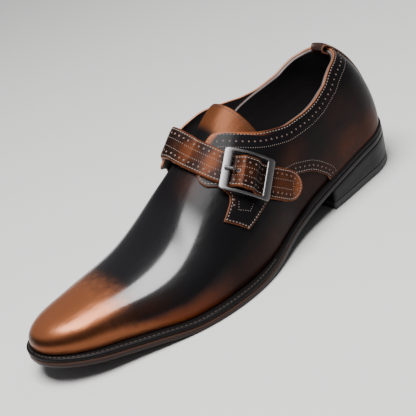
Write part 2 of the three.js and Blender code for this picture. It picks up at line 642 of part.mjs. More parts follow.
// A point of the strap: u along it, v across it, off above the foot, following the foot across.
function onStrap(u, v, off) {
  const { t, across } = strapAxes(u);
  const s = strapAlong(t);
  const round = strapRound(t);
  const step = 0.5;
  const here = onLast(s, round);
  const byStation = onLast(s + step, round).sub(here).divideScalar(step);
  const roundStep = 0.01;
  const byRound = onLast(s, round + roundStep).sub(here).divideScalar(roundStep);
  const [a, b, c] = [byStation.dot(byStation), byStation.dot(byRound), byRound.dot(byRound)];
  const [p, q] = [byStation.dot(across), byRound.dot(across)];
  const scale = v / (a * c - b * b);
  const s1 = s + (p * c - q * b) * scale;
  const round1 = round + (q * a - p * b) * scale;
  return onLast(s1, round1, off + standoff(s1, round1));
}

// A point of the buckle: arched along the strap and straight across it.
const buckleAxes = strapAxes(-BUCKLE_LENGTH / 8);

function onBuckle(u, v, off) {
  const { origin, normal } = strapAxes(u);
  const p = origin.addScaledVector(normal, off);
  const aside = p.clone().sub(buckleAxes.origin).dot(buckleAxes.across);
  return p.addScaledVector(buckleAxes.across, v - aside);
}

const quarterTop = GAP + QUARTER_THICKNESS;
const strapLow = quarterTop + GAP; // underside of the strap on the quarter
const chapeLow = quarterTop + GAP;
const barHeight = chapeLow + CHAPE_THICKNESS + GAP + CENTRE_BAR_RADIUS;
const strapHump = barHeight + CENTRE_BAR_RADIUS + CHAPE_THICKNESS + 2 * GAP - strapLow;
const frameLow = strapLow + STRAP_THICKNESS + BUCKLE_CLEARANCE;

// Height of the strap's underside, with its hump over the centre bar.
function strapUnder(u) {
  const fall = THREE.MathUtils.smoothstep(Math.abs(u), STRAP_HUMP_TOP, STRAP_HUMP_TOP + STRAP_HUMP_FALL);
  return strapLow + strapHump * (1 - fall);
}

const holeAt = -(STRAP_HUMP_TOP + STRAP_HUMP_FALL / 2); // the hole that the prong comes up through

function strap() {
  const columns = 56;
  const rows = 4;
  const u = (i) => THREE.MathUtils.lerp(strapStart, strapEnd, i / columns);
  const halfWidth = (at) => {
    const left = THREE.MathUtils.clamp((strapEnd - at) / STRAP_TIP_ROUND, 0, 1);
    return STRAP_WIDTH / 2 * Math.sqrt(1 - (1 - left) ** 2);
  };
  const at = (off) => (i, j) => new THREE.Vector3(u(i), halfWidth(u(i)) * (2 * j / rows - 1), off);
  const flat = solidOf(slab(columns, rows, at(STRAP_THICKNESS), at(0)));
  const drill = new THREE.CylinderGeometry(PRONG_HOLE / 2, PRONG_HOLE / 2, 3 * STRAP_THICKNESS, 12);
  drill.rotateX(Math.PI / 2).translate(holeAt, 0, STRAP_THICKNESS / 2);
  const cut = geometryOfSolid(flat.subtract(solidOf(drill)));
  return bent(cut, (x, y, z) => onStrap(x, y, strapUnder(x) + z));
}

function buckleFrame() {
  const level = frameLow + BUCKLE_THICKNESS / 2;
  const box = (length, width, x, y, segments) => {
    const shape = new THREE.BoxGeometry(length, width, BUCKLE_THICKNESS, segments, 1, 1);
    return solidOf(shape.translate(x, y, level));
  };
  const barAt = (BUCKLE_LENGTH - BUCKLE_BAR) / 2;
  const railAt = (BUCKLE_WIDTH - BUCKLE_RAIL) / 2;
  let frame = box(BUCKLE_BAR, BUCKLE_WIDTH, -barAt, 0, 2).add(box(BUCKLE_BAR, BUCKLE_WIDTH, barAt, 0, 2));
  for (const side of [-1, 1]) frame = frame.add(box(BUCKLE_LENGTH - BUCKLE_BAR, BUCKLE_RAIL, 0, side * railAt, 10));
  const bar = new THREE.CylinderGeometry(CENTRE_BAR_RADIUS, CENTRE_BAR_RADIUS, 2 * railAt, 10);
  frame = frame.add(solidOf(bar.translate(0, 0, barHeight)));
  for (const side of [-1, 1]) {
    const lug = new THREE.BoxGeometry(2 * CENTRE_BAR_RADIUS, BUCKLE_RAIL, level - barHeight + CENTRE_BAR_RADIUS);
    const lugHeight = (level + barHeight - CENTRE_BAR_RADIUS) / 2;
    frame = frame.add(solidOf(lug.translate(0, side * railAt, lugHeight)));
  }
  return bent(geometryOfSolid(frame), onBuckle);
}

// Prong: a ring on the centre bar, and an arm up through the strap's hole to rest on the frame.
function prong() {
  const hole = CENTRE_BAR_RADIUS + GAP;
  const ring = hole + PRONG_RING;
  const half = PRONG_THICKNESS / 2;
  const rest = frameLow + BUCKLE_THICKNESS + GAP + half;
  const near = holeAt + PRONG_HOLE / 2;
  const far = holeAt - PRONG_HOLE / 2;
  const tip = -BUCKLE_LENGTH / 2 + BUCKLE_BAR * PRONG_TIP;
  const line = [
    [-(hole + PRONG_RING / 2), barHeight],
    [near, strapUnder(near) - GAP - half],
    [far, strapUnder(far) + STRAP_THICKNESS + GAP + half],
    [tip + BUCKLE_BAR, rest],
    [tip + half, rest],
  ];
  const arm = new THREE.Shape();
  arm.moveTo(line[0][0], line[0][1] - half);
  for (const [x, y] of line.slice(1)) arm.lineTo(x, y - half);
  arm.lineTo(tip, rest);
  for (const [x, y] of line.toReversed()) arm.lineTo(x, y + half);
  arm.closePath();
  const loop = new THREE.Shape();
  loop.absarc(0, barHeight, ring, 0, Math.PI * 2, false);
  const gap = new THREE.Path();
  gap.absarc(0, barHeight, hole, 0, Math.PI * 2, true);
  loop.holes.push(gap);
  const [armSolid, loopSolid] = [arm, loop].map((shape) => solidOf(upright(shape, PRONG_WIDTH)));
  return bent(geometryOfSolid(armSolid.add(loopSolid)), onBuckle);
}

// A side view pulled out to a width: x stays along the strap and y becomes the height.
function upright(shape, width) {
  const body = new THREE.ExtrudeGeometry(shape, { depth: width, bevelEnabled: false, curveSegments: 10 });
  return body.rotateX(Math.PI / 2).translate(0, width / 2, 0);
}

// Chape: a leather loop round the centre bar, sewn to the quarter under the buckle.
function chape() {
  const ring = CENTRE_BAR_RADIUS + GAP + CHAPE_THICKNESS;
  const hole = CENTRE_BAR_RADIUS + GAP;
  const tail = STRAP_HUMP_TOP + STRAP_HUMP_FALL * CHAPE_TAIL;
  const tailTop = barHeight - ring + CHAPE_THICKNESS;
  const profile = new THREE.Shape();
  profile.moveTo(tail, barHeight - ring);
  profile.lineTo(tail, tailTop);
  profile.absarc(0, barHeight, ring, -Math.asin(hole / ring), Math.PI * 1.5, false);
  const gap = new THREE.Path();
  gap.absarc(0, barHeight, hole, 0, Math.PI * 2, true);
  profile.holes.push(gap);
  const loop = upright(profile, CHAPE_WIDTH);
  const slotWidth = PRONG_WIDTH + 4 * GAP;
  const slot = new THREE.BoxGeometry(ring * 3, slotWidth, ring * 3);
  slot.translate(-ring / 2, 0, barHeight);
  return bent(geometryOfSolid(solidOf(loop).subtract(solidOf(slot))), onStrap);
}

// Back strip: up the back seam, over the collar's edge and a little way down inside.
function backStrip() {
  const collar = 1 - OPENING[0].outer;
  const perRise = lastPoint(0, collar).distanceTo(lastPoint(0, collar - 0.01)) / 0.01;
  const perTurn = lastPoint(0.01, 0.5).distanceTo(lastPoint(0, 0.5)) / 0.01;
  const outside = quarterTop + GAP;
  const inside = -(UPPER_WALL + GAP);
  const profile = [];
  const steps = 9;
  for (let i = 0; i <= steps; i += 1) profile.push([collar * i / steps, outside, outside + BACK_STRIP_THICKNESS]);
  const crown = (outside - inside) / 2;
  const middle = (outside + inside) / 2;
  const lead = (outside - inside) * 0.25 / perRise;
  const spread = (radius, angle) => [collar + lead + radius * Math.sin(angle) / perRise, middle + radius * Math.cos(angle)];
  const over = 6;
  const line = profile.map(([rise, low, high]) => ({ low: [rise, low], high: [rise, high] }));
  for (let i = 0; i <= over; i += 1) {
    const angle = Math.PI * i / over;
    line.push({ low: spread(crown, angle), high: spread(crown + BACK_STRIP_THICKNESS, angle) });
  }
  for (const share of [0.33, 0.67, 1]) {
    const down = collar - BACK_TAB_DROP * share / perRise;
    line.push({ low: [down, inside], high: [down, inside - BACK_STRIP_THICKNESS] });
  }
  const columns = 6;
  const at = (side) => (i, j) => {
    const [rise, off] = line[i][side];
    const width = THREE.MathUtils.lerp(BACK_STRIP_WIDTH, BACK_TAB_WIDTH, Math.min(i / steps, 1) ** 2);
    return offLast(width / 2 / perTurn * (2 * j / columns - 1), rise, off);
  };
  return slab(line.length - 1, columns, at('high'), at('low'));
}

// Colours and finishes of the real pieces
const finishes = {
  blackLeather: { color: 0x17161a, roughness: 0.22, metalness: 0 },
  brownLeather: { color: 0x6b3c1d, roughness: 0.3, metalness: 0 },
  tongueLeather: { color: 0x8a5430, roughness: 0.32, metalness: 0 },
  soleLeather: { color: 0x2b1a14, roughness: 0.4, metalness: 0 },
  weltLeather: { color: 0x0f0d0d, roughness: 0.45, metalness: 0 },
  heelRubber: { color: 0x141414, roughness: 0.6, metalness: 0 },
  insoleLeather: { color: 0x1b1614, roughness: 0.7, metalness: 0 },
  oldSilver: { color: 0x8d8b88, roughness: 0.35, metalness: 1 },
};

const pieces = [
  ['outsole', outsole, 'soleLeather'],
  ['welt', welt, 'weltLeather'],
  ['heel_stack', heelStack, 'weltLeather'],
  ['top_lift', topLift, 'heelRubber'],
  ['insole', insole, 'insoleLeather'],
  ['upper', upper, 'blackLeather'],
  ['outer_quarter', () => quarter(OUTER_QUARTER, 1), 'blackLeather'],
  ['inner_quarter', () => quarter(INNER_QUARTER, -1), 'blackLeather'],
  ['back_strip', backStrip, 'blackLeather'],
  ['tongue', tongue, 'tongueLeather'],
  ['strap', strap, 'brownLeather'],
  ['chape', chape, 'blackLeather'],
  ['buckle_frame', buckleFrame, 'oldSilver'],
  ['buckle_prong', prong, 'oldSilver'],
];

const shoe = new THREE.Group();
for (const [name, make, finish] of pieces) {
  const mesh = new THREE.Mesh(make(), new THREE.MeshStandardMaterial(finishes[finish]));
  mesh.name = name;
  shoe.add(mesh);
}

// The origin is on the floor under the middle of the shoe's box.
const middle = new THREE.Box3().setFromObject(shoe).getCenter(new THREE.Vector3());
shoe.position.set(-middle.x, -middle.y, 0);

export default shoe;
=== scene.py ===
import math

import bmesh
import bpy
import numpy as np
from mathutils import Matrix, Vector


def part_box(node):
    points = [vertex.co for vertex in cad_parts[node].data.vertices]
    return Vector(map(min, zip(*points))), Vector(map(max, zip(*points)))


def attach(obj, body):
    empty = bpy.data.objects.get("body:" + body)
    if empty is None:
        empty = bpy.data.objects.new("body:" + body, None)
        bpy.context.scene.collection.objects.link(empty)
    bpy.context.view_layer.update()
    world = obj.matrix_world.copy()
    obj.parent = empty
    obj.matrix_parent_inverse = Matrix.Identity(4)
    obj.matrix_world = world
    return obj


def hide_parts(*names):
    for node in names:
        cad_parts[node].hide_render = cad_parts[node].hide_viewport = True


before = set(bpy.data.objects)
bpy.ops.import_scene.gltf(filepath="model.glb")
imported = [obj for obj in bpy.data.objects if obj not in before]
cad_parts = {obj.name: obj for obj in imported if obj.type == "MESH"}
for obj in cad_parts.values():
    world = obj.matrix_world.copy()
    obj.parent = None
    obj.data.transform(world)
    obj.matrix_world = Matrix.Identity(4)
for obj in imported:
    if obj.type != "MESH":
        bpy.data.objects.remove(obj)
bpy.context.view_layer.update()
metre = 1000.0

# Sole and last, the same sizes as the frame
soleLength = 308.0
ballWidth = 100.0
toeInswing = 8.4
toeRound, toePower = 35.0, 2.25
heelRound, heelPower = 32.5, 2.1
heelRise, toeSpring = 25.5, 15.2
outsoleThickness, weltThickness, weltTuck = 4.2, 2.8, 8.0
instepHeight = 97.5
gap = 0.3
heelLength, heelSideTaper, heelBackTaper, topLiftThickness = 78.6, 3.1, 0.2, 6.0
upperWall, quarterThickness = 2.0, 1.5
tongueDepth, tongueThickness, tongueRise, tongueCorner, tongueLeaves = 1.2, 2.2, 1.2, 0.02, 0.49
backStripWidth, backTabWidth, backStripThickness, backTabDrop, backSeam = 12.0, 20.0, 1.2, 12.0, 0.8
quarterStandoff = 8.5
strapWidth, strapThickness, strapTipRound = 21.5, 2.4, 14.0
strapHumpTop, strapHumpFall = 2.6, 6.4
prongHole, prongWidth, prongThickness, prongRing = 3.8, 2.2, 1.5, 0.8
buckleLength, buckleWidth, buckleBar, buckleRail = 31.4, 29.0, 5.2, 2.0
buckleThickness, buckleClearance, centreBarRadius = 2.0, 0.9, 0.9
chapeThickness = 0.9
heelPole, toePole = 0.178, 0.93
buckleRound = 0.525

# Tables by column. along is a share of the sole length; half widths and sides are shares of the ball width.
outline = {
    "along": [0, .12, .25, .38, .5, .62, .72, .82, .92, 1],
    "outer": [.28, .305, .343, .383, .498, .543, .5, .4, .31, .258],
    "inner": [.28, .315, .3, .25, .31, .44, .5, .46, .35, .27],
}
underside = {
    "along": [0, .12, .25, .4, .52, .58, .7, .8, .9, 1],
    "heel": [1, .865, .66, .295, .035, 0, 0, 0, 0, 0],
    "toe": [0, 0, 0, 0, 0, 0, 0, .26, .585, 1],
}
ridge = {
    "along": [0, .15, .3, .42, .5, .6, .7, .8, .9, 1],
    "height": [1.072, 1.107, 1.13, 1.015, .863, .69, .494, .422, .397, .365],
    "side": [-.008, -.003, -.035, -.108, -.099, -.06, -.046, -.043, -.04, -.038],
}
wall = {
    "along": [0, .12, .35, .65, .88, 1],
    "bulge": [.022, .025, .018, .025, .014, .015],
    "plan": [2.13, 2.07, 2, 2.04, 2.22, 2.42],
    "rise": [1.86, 1.9, 2, 2, 2.12, 2.33],
}
reach = {"along": [0, .22, .4, .6, .85, 1], "out": [2.9, 2.9, 2.2, 6.1, 6.1, 3.5]}
# round runs from the ridge (0) to the feather line (1), positive on the outer side.
opening = {
    "along": [0, .0155, .06, .1, .14, .19, .24, .266, .31, .351, .388, .421, .451, .48, .505],
    "outer": [.318, .346, .373, .4, .443, .513, .563, .571, .563, .519, .452, .36, .27, .18, 0],
    "inner": [.318, .33, .37, .396, .43, .479, .496, .498, .5, .52, .53, .5, .44, .3, 0],
}
outerQuarter = {
    "topAlong": [0, .004, .0155, .035, .06, .1, .14, .19, .227, .266, .31, .351, .388, .421, .449, .46, .478,
                 .51, .538, .546, .544, .527, .52, .526, .564],
    "topRound": [.318, .327, .346, .36, .373, .4, .443, .513, .555, .571, .563, .519, .451, .346, .215, .178,
                 .164, .183, .219, .27, .315, .395, .483, .513, .557],
    "lowAlong": [0, .006, .023, .053, .097, .146, .188, .227, .25, .257, .274, .298, .328, .347, .364, .373,
                 .386, .403, .419, .429, .437, .455, .477, .487, .523],
    "lowRound": [1, 1, 1, 1, 1, 1, 1, 1, 1, .966, .92, .868, .828, .804, .79, .78, .77, .76, .75, .745, .741,
                 .737, .733, .731, .726],
}
innerQuarter = {
    "topAlong": [0, .004, .0155, .035, .06, .1, .14, .19, .24, .29, .34, .38, .41, .435, .466, .494, .52,
                 .54],
    "topRound": [.318, .321, .33, .347, .37, .396, .43, .479, .496, .469, .403, .335, .295, .275, .25, .24,
                 .245, .255],
    "lowAlong": [0, .006, .023, .053, .097, .146, .188, .227, .25, .266, .3, .35, .4, .45, .487, .513, .532,
                 .542],
    "lowRound": [1, 1, 1, 1, 1, 1, 1, 1, 1, .94, .868, .8, .72, .62, .52, .43, .35, .3],
}
standoffAlong = {"along": [.3, .36, .42, .466, .52, .56, .62], "lift": [0, .16, .72, 1, .72, .45, 0]}
standoffRound = {"round": [-.8, -.55, -.32, -.2, -.1, 0, .12], "lift": [0, .4, .92, 1, .72, .3, 0]}
strapLine = {
    "along": [.485, .496, .508, .507, .494, .464, .425, .35],
    "round": [-.52, -.22, .03, .2, .37, .53, .685, .87],
}
tongueSides = {
    "innerAlong": [.56, .5, .45, .412], "inner": [-.17, -.24, -.29, -.33],
    "outerAlong": [.56, .5, .45, .377], "outer": [.3, .42, .46, .47],
}


def naturalSpline(xs, ys):
    xs, ys = np.array(xs, float), np.array(ys, float)
    n, h = len(xs), np.diff(xs)
    system, right = np.eye(n), np.zeros(n)
    for i in range(1, n - 1):
        system[i, i - 1:i + 2] = h[i - 1], 2 * (h[i - 1] + h[i]), h[i]
        right[i] = 6 * ((ys[i + 1] - ys[i]) / h[i] - (ys[i] - ys[i - 1]) / h[i - 1])
    bend = np.linalg.solve(system, right)

    def curve(x):
        x = np.asarray(x, float)
        k = np.clip(np.searchsorted(xs, x) - 1, 0, n - 2)
        a = (xs[k + 1] - x) / h[k]
        b = 1 - a
        curl = ((a ** 3 - a) * bend[k] + (b ** 3 - b) * bend[k + 1]) * h[k] ** 2 / 6
        return a * ys[k] + b * ys[k + 1] + curl
    return curve


def monotoneSpline(xs, ys):
    xs, ys = np.array(xs, float), np.array(ys, float)
    h = np.diff(xs)
    slope = np.diff(ys) / h
    tangent = np.zeros(len(xs))
    tangent[0], tangent[-1] = slope[0], slope[-1]
    for i in range(1, len(xs) - 1):
        if slope[i - 1] * slope[i] > 0:
            back, fore = 2 * h[i] + h[i - 1], h[i] + 2 * h[i - 1]
            tangent[i] = (back + fore) / (back / slope[i - 1] + fore / slope[i])

    def curve(x):
        x = np.clip(np.asarray(x, float), xs[0], xs[-1])
        k = np.clip(np.searchsorted(xs, x) - 1, 0, len(xs) - 2)
        t = (x - xs[k]) / h[k]
        start = (1 + 2 * t) * (1 - t) ** 2 * ys[k] + t * (1 - t) ** 2 * h[k] * tangent[k]
        return start + t * t * (3 - 2 * t) * ys[k + 1] + t * t * (t - 1) * h[k] * tangent[k + 1]
    return curve


def along(table):
    return np.array(table["along"]) * soleLength


def smooth(low, high, x):
    t = np.clip((x - low) / (high - low), 0, 1)
    return t * t * (3 - 2 * t)


def unit(v):
    return v / (np.linalg.norm(v, axis=-1, keepdims=True) + 1e-12)


outerHalf = naturalSpline(along(outline), np.array(outline["outer"]) * ballWidth)
innerHalf = naturalSpline(along(outline), np.array(outline["inner"]) * ballWidth)
undersideAt = monotoneSpline(
    along(underside), np.array(underside["heel"]) * heelRise + np.array(underside["toe"]) * toeSpring)
ridgeHeight = naturalSpline(along(ridge), np.array(ridge["height"]) * instepHeight)
ridgeSide = naturalSpline(along(ridge), np.array(ridge["side"]) * ballWidth)
wallBulge = naturalSpline(along(wall), np.array(wall["bulge"]) * ballWidth)
planPower = naturalSpline(along(wall), wall["plan"])
risePower = naturalSpline(along(wall), wall["rise"])
weltReach = monotoneSpline(along(reach), reach["out"])
openOuter = monotoneSpline(along(opening), opening["outer"])
openInner = monotoneSpline(along(opening), opening["inner"])
liftAlong = monotoneSpline(along(standoffAlong), standoffAlong["lift"])
liftRound = monotoneSpline(standoffRound["round"], standoffRound["lift"])


def weltTop(s):
    return undersideAt(s) + outsoleThickness + gap + weltThickness


def stationOf(turn):
    return soleLength * (0.5 - 0.5 * np.cos(np.pi * np.abs(turn)))


def turnOf(s):
    return np.arccos(np.clip(1 - 2 * np.asarray(s, float) / soleLength, -1, 1)) / np.pi


def wrapTurn(turn):
    return (np.asarray(turn, float) + 1) % 2 - 1


# Outline of the sole in plan: turn is 0 at the heel and -1 or 1 at the toe, positive on the outer side.
def outlinePoint(rawTurn):
    turn = wrapTurn(rawTurn)
    s = stationOf(turn)
    toe = np.clip((s - (soleLength - toeRound)) / toeRound, 0, 1)
    heel = np.clip((heelRound - s) / heelRound, 0, 1)
    close = (np.maximum(1 - toe ** toePower, 0) ** (1 / toePower)
             * np.maximum(1 - heel ** heelPower, 0) ** (1 / heelPower))
    inswing = toeInswing * np.clip((s / soleLength - 0.55) / 0.45, 0, 1) ** 2
    half = np.where(turn >= 0, outerHalf(s), -innerHalf(s))
    return np.stack([half * close - inswing, -s], -1)


def outlineNormal(turn):
    step = unit(outlinePoint(turn + 1e-3) - outlinePoint(turn - 1e-3))
    return np.stack([-step[..., 1], step[..., 0]], -1)


def insetOutline(turn, inset):
    return outlinePoint(turn) - outlineNormal(turn) * np.asarray(inset, float)[..., None]


def poleStation(s):
    return np.clip(s, heelPole * soleLength, toePole * soleLength)


# The last: a profile from the feather line (rise 0) to the ridge (rise 1), carried round the outline.
def lastPoint(turn, rise):
    turn, rise = np.broadcast_arrays(np.asarray(turn, float), np.clip(rise, 0, 1))
    s = stationOf(wrapTurn(turn))
    foot = insetOutline(turn, weltReach(s))
    fore = -foot[..., 1]
    angle = rise * np.pi / 2
    across = 1 - np.maximum(np.cos(angle), 0) ** (2 / planPower(fore))
    top = np.stack([ridgeSide(poleStation(s)), -poleStation(s)], -1)
    plan = foot + (top - foot) * across[..., None]
    plan = plan + outlineNormal(turn) * (wallBulge(fore) * np.sin(2 * angle))[..., None]
    base = weltTop(fore) + gap
    lift = np.sin(angle) ** (2 / risePower(fore))
    z = base + (ridgeHeight(-plan[..., 1]) - base) * lift
    return np.concatenate([plan, z[..., None]], -1)


def lastNormal(turn, rise):
    turn, rise = np.broadcast_arrays(np.asarray(turn, float), np.asarray(rise, float))
    low = np.minimum(rise, 0.985)
    around = lastPoint(turn + 1e-3, low) - lastPoint(turn - 1e-3, low)
    up = lastPoint(turn, np.minimum(rise + 1e-3, 1)) - lastPoint(turn, np.maximum(rise - 1e-3, 0))
    s = poleStation(stationOf(wrapTurn(turn)))
    slope = ridgeHeight(s + 0.5) - ridgeHeight(s - 0.5)
    top = unit(np.stack([0 * slope, slope, 1 + 0 * slope], -1))
    return np.where((rise > 0.9995)[..., None], top, unit(np.cross(up, around)))


def offLast(turn, rise, off):
    off = np.asarray(off, float)
    p = lastPoint(turn, rise)
    p = p + lastNormal(turn, rise) * np.broadcast_to(off, p.shape[:-1])[..., None]
    p[..., 2] = np.maximum(p[..., 2], weltTop(-p[..., 1]) + gap)
    return p


def onLast(s, around, off=0.0):
    s, around = np.broadcast_arrays(np.asarray(s, float), np.asarray(around, float))
    return offLast(np.where(around < 0, -1, 1) * turnOf(s), 1 - np.abs(around), off)


def standoff(s, around):
    return quarterStandoff * liftAlong(s) * liftRound(around)


def onQuarter(s, around, off):
    return onLast(s, around, off + standoff(s, around))


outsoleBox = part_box("outsole")
outlineSide = outlinePoint(np.linspace(0, 1, 2001))[:, 0].max()
originShift = np.array([outsoleBox[1].x * metre - outlineSide, outsoleBox[1].y * metre, 0.0])
print("stage: frame loaded, origin shift", originShift.round(2))


# Shaders
def addNode(tree, kind, inputs=None, **options):
    made = tree.nodes.new(kind)
    for key, value in options.items():
        setattr(made, key, value)
    for key, value in (inputs or {}).items():
        if isinstance(value, bpy.types.NodeSocket):
            tree.links.new(value, made.inputs[key])
        else:
            made.inputs[key].default_value = value
    return made


def mathNode(tree, operation, *values, clamp=False):
    made = addNode(tree, "ShaderNodeMath", dict(enumerate(values)), operation=operation, use_clamp=clamp)
    return made.outputs[0]


def bumpNode(tree, strength, distance, height, **under):
    inputs = {"Strength": strength, "Distance": distance, "Height": height, **under}
    return addNode(tree, "ShaderNodeBump", inputs).outputs["Normal"]


def newGroup(name, inputs, output, kind):
    tree = bpy.data.node_groups.new(name, "ShaderNodeTree")
    for key, value in inputs.items():
        socket = tree.interface.new_socket(key, in_out="INPUT", socket_type="NodeSocketFloat")
        socket.default_value = value
    tree.interface.new_socket(output, in_out="OUTPUT", socket_type=kind)
    return tree, tree.nodes.new("NodeGroupInput"), tree.nodes.new("NodeGroupOutput")


# Mask with a mottled border: mask + (noise - 0.5) * amount * 4 * mask * (1 - mask)
def mottleGroup():
    tree, source, sink = newGroup(
        "mottle", {"Mask": 0.0, "Amount": 1.0, "Scale": 90.0}, "Mask", "NodeSocketFloat")
    place = addNode(tree, "ShaderNodeTexCoord")
    noise = addNode(tree, "ShaderNodeTexNoise", {
        "Vector": place.outputs["Object"], "Scale": source.outputs["Scale"],
        "Detail": 5.0, "Roughness": 0.65})
    centred = mathNode(tree, "SUBTRACT", noise.outputs["Fac"], 0.5)
    rest = mathNode(tree, "SUBTRACT", 1.0, source.outputs["Mask"])
    border = mathNode(tree, "MULTIPLY", rest, source.outputs["Mask"])
    wide = mathNode(tree, "MULTIPLY", border, 4.0)
    strong = mathNode(tree, "MULTIPLY", wide, source.outputs["Amount"])
    total = mathNode(tree, "MULTIPLY_ADD", strong, centred, source.outputs["Mask"], clamp=True)
    tree.links.new(total, sink.inputs["Mask"])
    return tree


# Fine pores over soft waves, as a normal
def grainGroup():
    tree, source, sink = newGroup("leatherGrain", {"Pores": 0.1, "Waves": 0.1}, "Normal", "NodeSocketVector")
    place = addNode(tree, "ShaderNodeTexCoord").outputs["Object"]
    pores = addNode(tree, "ShaderNodeTexVoronoi", {"Vector": place, "Scale": 1500.0})
    drawn = addNode(tree, "ShaderNodeMapping", {"Vector": place, "Scale": (1.0, 0.4, 1.0)})
    waves = addNode(tree, "ShaderNodeTexNoise",
                    {"Vector": drawn.outputs["Vector"], "Scale": 110.0, "Detail": 3.0})
    soft = bumpNode(tree, source.outputs["Waves"], 0.002, waves.outputs["Fac"])
    fine = bumpNode(tree, source.outputs["Pores"], 0.0001, pores.outputs["Distance"], Normal=soft)
    tree.links.new(fine, sink.inputs["Normal"])
    return tree


# Brush lines along one direction, as a normal
def brushGroup():
    tree, source, sink = newGroup("brushLines", {"Strength": 0.2}, "Normal", "NodeSocketVector")
    place = addNode(tree, "ShaderNodeTexCoord")
    stretch = addNode(tree, "ShaderNodeMapping", {
        "Vector": place.outputs["Object"], "Scale": (200.0, 4000.0, 200.0), "Rotation": (0.0, 0.0, 0.5)})
    noise = addNode(tree, "ShaderNodeTexNoise",
                    {"Vector": stretch.outputs["Vector"], "Scale": 1.0, "Detail": 3.0})
    bump = bumpNode(tree, source.outputs["Strength"], 0.0002, noise.outputs["Fac"])
    tree.links.new(bump, sink.inputs["Normal"])
    return tree


mottle, leatherGrain, brushLines = mottleGroup(), grainGroup(), brushGroup()
grainAmounts = {"Pores": 0.25, "Waves": 0.22}
coatRoughness, toeCoatLoss, toeMetal = 0.14, 0.85, 0.6


def plainMaterial(name, base, roughness, metal=0.0, normalGroup=None, amounts=None):
    material = bpy.data.materials.new(name)
    material.use_nodes = True
    shader = material.node_tree.nodes["Principled BSDF"]
    for key, value in (("Base Color", (*base, 1)), ("Roughness", roughness), ("Metallic", metal)):
        shader.inputs[key].default_value = value
    if normalGroup:
        lines = addNode(material.node_tree, "ShaderNodeGroup", amounts, node_tree=normalGroup)
        material.node_tree.links.new(lines.outputs["Normal"], shader.inputs["Normal"])
    return material


# tones are (attribute, colour, mottle amount, mottle scale), laid over each other in order.
# The attribute polish, where a mesh has it, says how much the leather shines.
def leatherMaterial(name, base, roughness, coat, tones=(), specular=0.32, polished=False, metal=0.0):
    material = plainMaterial(name, base, roughness, metal, leatherGrain, grainAmounts)
    tree = material.node_tree
    inputs = tree.nodes["Principled BSDF"].inputs
    inputs["Specular IOR Level"].default_value = specular
    inputs["Coat Weight"].default_value = coat
    inputs["Coat Roughness"].default_value = coatRoughness
    if polished:
        polish, toe = (addNode(tree, "ShaderNodeAttribute", attribute_name=key).outputs["Fac"]
                       for key in ("polish", "toeTone"))
        waxed = mathNode(tree, "MULTIPLY", polish, mathNode(tree, "MULTIPLY_ADD", toe, -toeCoatLoss, 1.0))
        tree.links.new(mathNode(tree, "MULTIPLY", waxed, coat), inputs["Coat Weight"])
        tree.links.new(mathNode(tree, "MULTIPLY", toe, toeMetal), inputs["Metallic"])
    colour = (*base, 1)
    for attribute, tint, amount, scale in tones:
        mask = addNode(tree, "ShaderNodeAttribute", attribute_name=attribute).outputs["Fac"]
        border = addNode(tree, "ShaderNodeGroup", node_tree=mottle,
                         inputs={"Mask": mask, "Amount": amount, "Scale": scale})
        mix = addNode(tree, "ShaderNodeMix", {"Factor": border.outputs["Mask"], 6: colour, 7: (*tint, 1)},
                      data_type="RGBA")
        colour = mix.outputs[2]
    if tones:
        tree.links.new(colour, inputs["Base Color"])
    return material


bronze = (0.2, 0.067, 0.028)
# The rust colour also serves as painted reflection of a warm floor, low on the sides and strongest round the
# toe
rustAndFloorGlow = (0.125, 0.027, 0.006)
amber = (0.22, 0.064, 0.022)
black = (0.0045, 0.004, 0.0045)
rustAndGlowLayer, amberEdge = ("rustGlowMask", rustAndFloorGlow, 0.9, 50.0), ("edgeTone", amber, 0.8, 300.0)
# Vamp: rust with painted floor reflection low down, the bronze toe, and a dark band round the toe that is
# partly burnish and partly painted shade
vampLeather = leatherMaterial(
    "vampLeather", black, 0.33, 0.72,
    [rustAndGlowLayer, ("toeTone", bronze, 0.9, 200.0), ("toeBurnishShade", (0.012, 0.004, 0.002), 0.6, 90.0)],
    specular=0.055, polished=True)
# Quarters: rust with painted warm floor reflection low down, and amber raw edges
quarterLeather = leatherMaterial(
    "quarterLeather", black, 0.33, 0.4, [rustAndGlowLayer, amberEdge], specular=0.05, polished=True)
strapLeather = leatherMaterial(
    "strapLeather", (0.06, 0.017, 0.006), 0.45, 0.01,
    [("darkTone", (0.010, 0.005, 0.004), 1.3, 160.0), amberEdge], specular=0.03, metal=0.3)
tongueLeather = leatherMaterial(
    "tongueLeather", (0.074, 0.024, 0.009), 0.4, 0.0,
    [("darkTone", black, 0.7, 120.0), ("edgeTone", (0.05, 0.017, 0.008), 0.8, 300.0)],
    specular=0.055, metal=0.35)
liningLeather = leatherMaterial("liningLeather", (0.03, 0.026, 0.028), 0.5, 0.0)
liningEdge = plainMaterial("liningEdge", (0.09, 0.065, 0.06), 0.5)
insoleLeather = leatherMaterial("insoleLeather", (0.022, 0.018, 0.018), 0.55, 0.0)
stripLeather = leatherMaterial("stripLeather", (0.02, 0.008, 0.006), 0.38, 0.1, [amberEdge])
weltLeather = leatherMaterial("weltLeather", (0.005, 0.004, 0.004), 0.42, 0.02, specular=0.08)
soleLeather = leatherMaterial(
    "soleLeather", (0.006, 0.005, 0.005), 0.38, 0.05,
    [("foreTone", (0.016, 0.006, 0.004), 0.8, 90.0), ("seamTone", (0.06, 0.028, 0.018), 0.3, 300.0)],
    specular=0.2)
heelLeather = leatherMaterial("heelLeather", (0.006, 0.006, 0.007), 0.4, 0.03, specular=0.12)
liftRubber = plainMaterial("liftRubber", (0.009, 0.009, 0.010), 0.55)
rawEdge = plainMaterial("rawEdge", (0.34, 0.125, 0.055), 0.45)
stripEdge = plainMaterial("stripEdge", (0.13, 0.05, 0.026), 0.45)
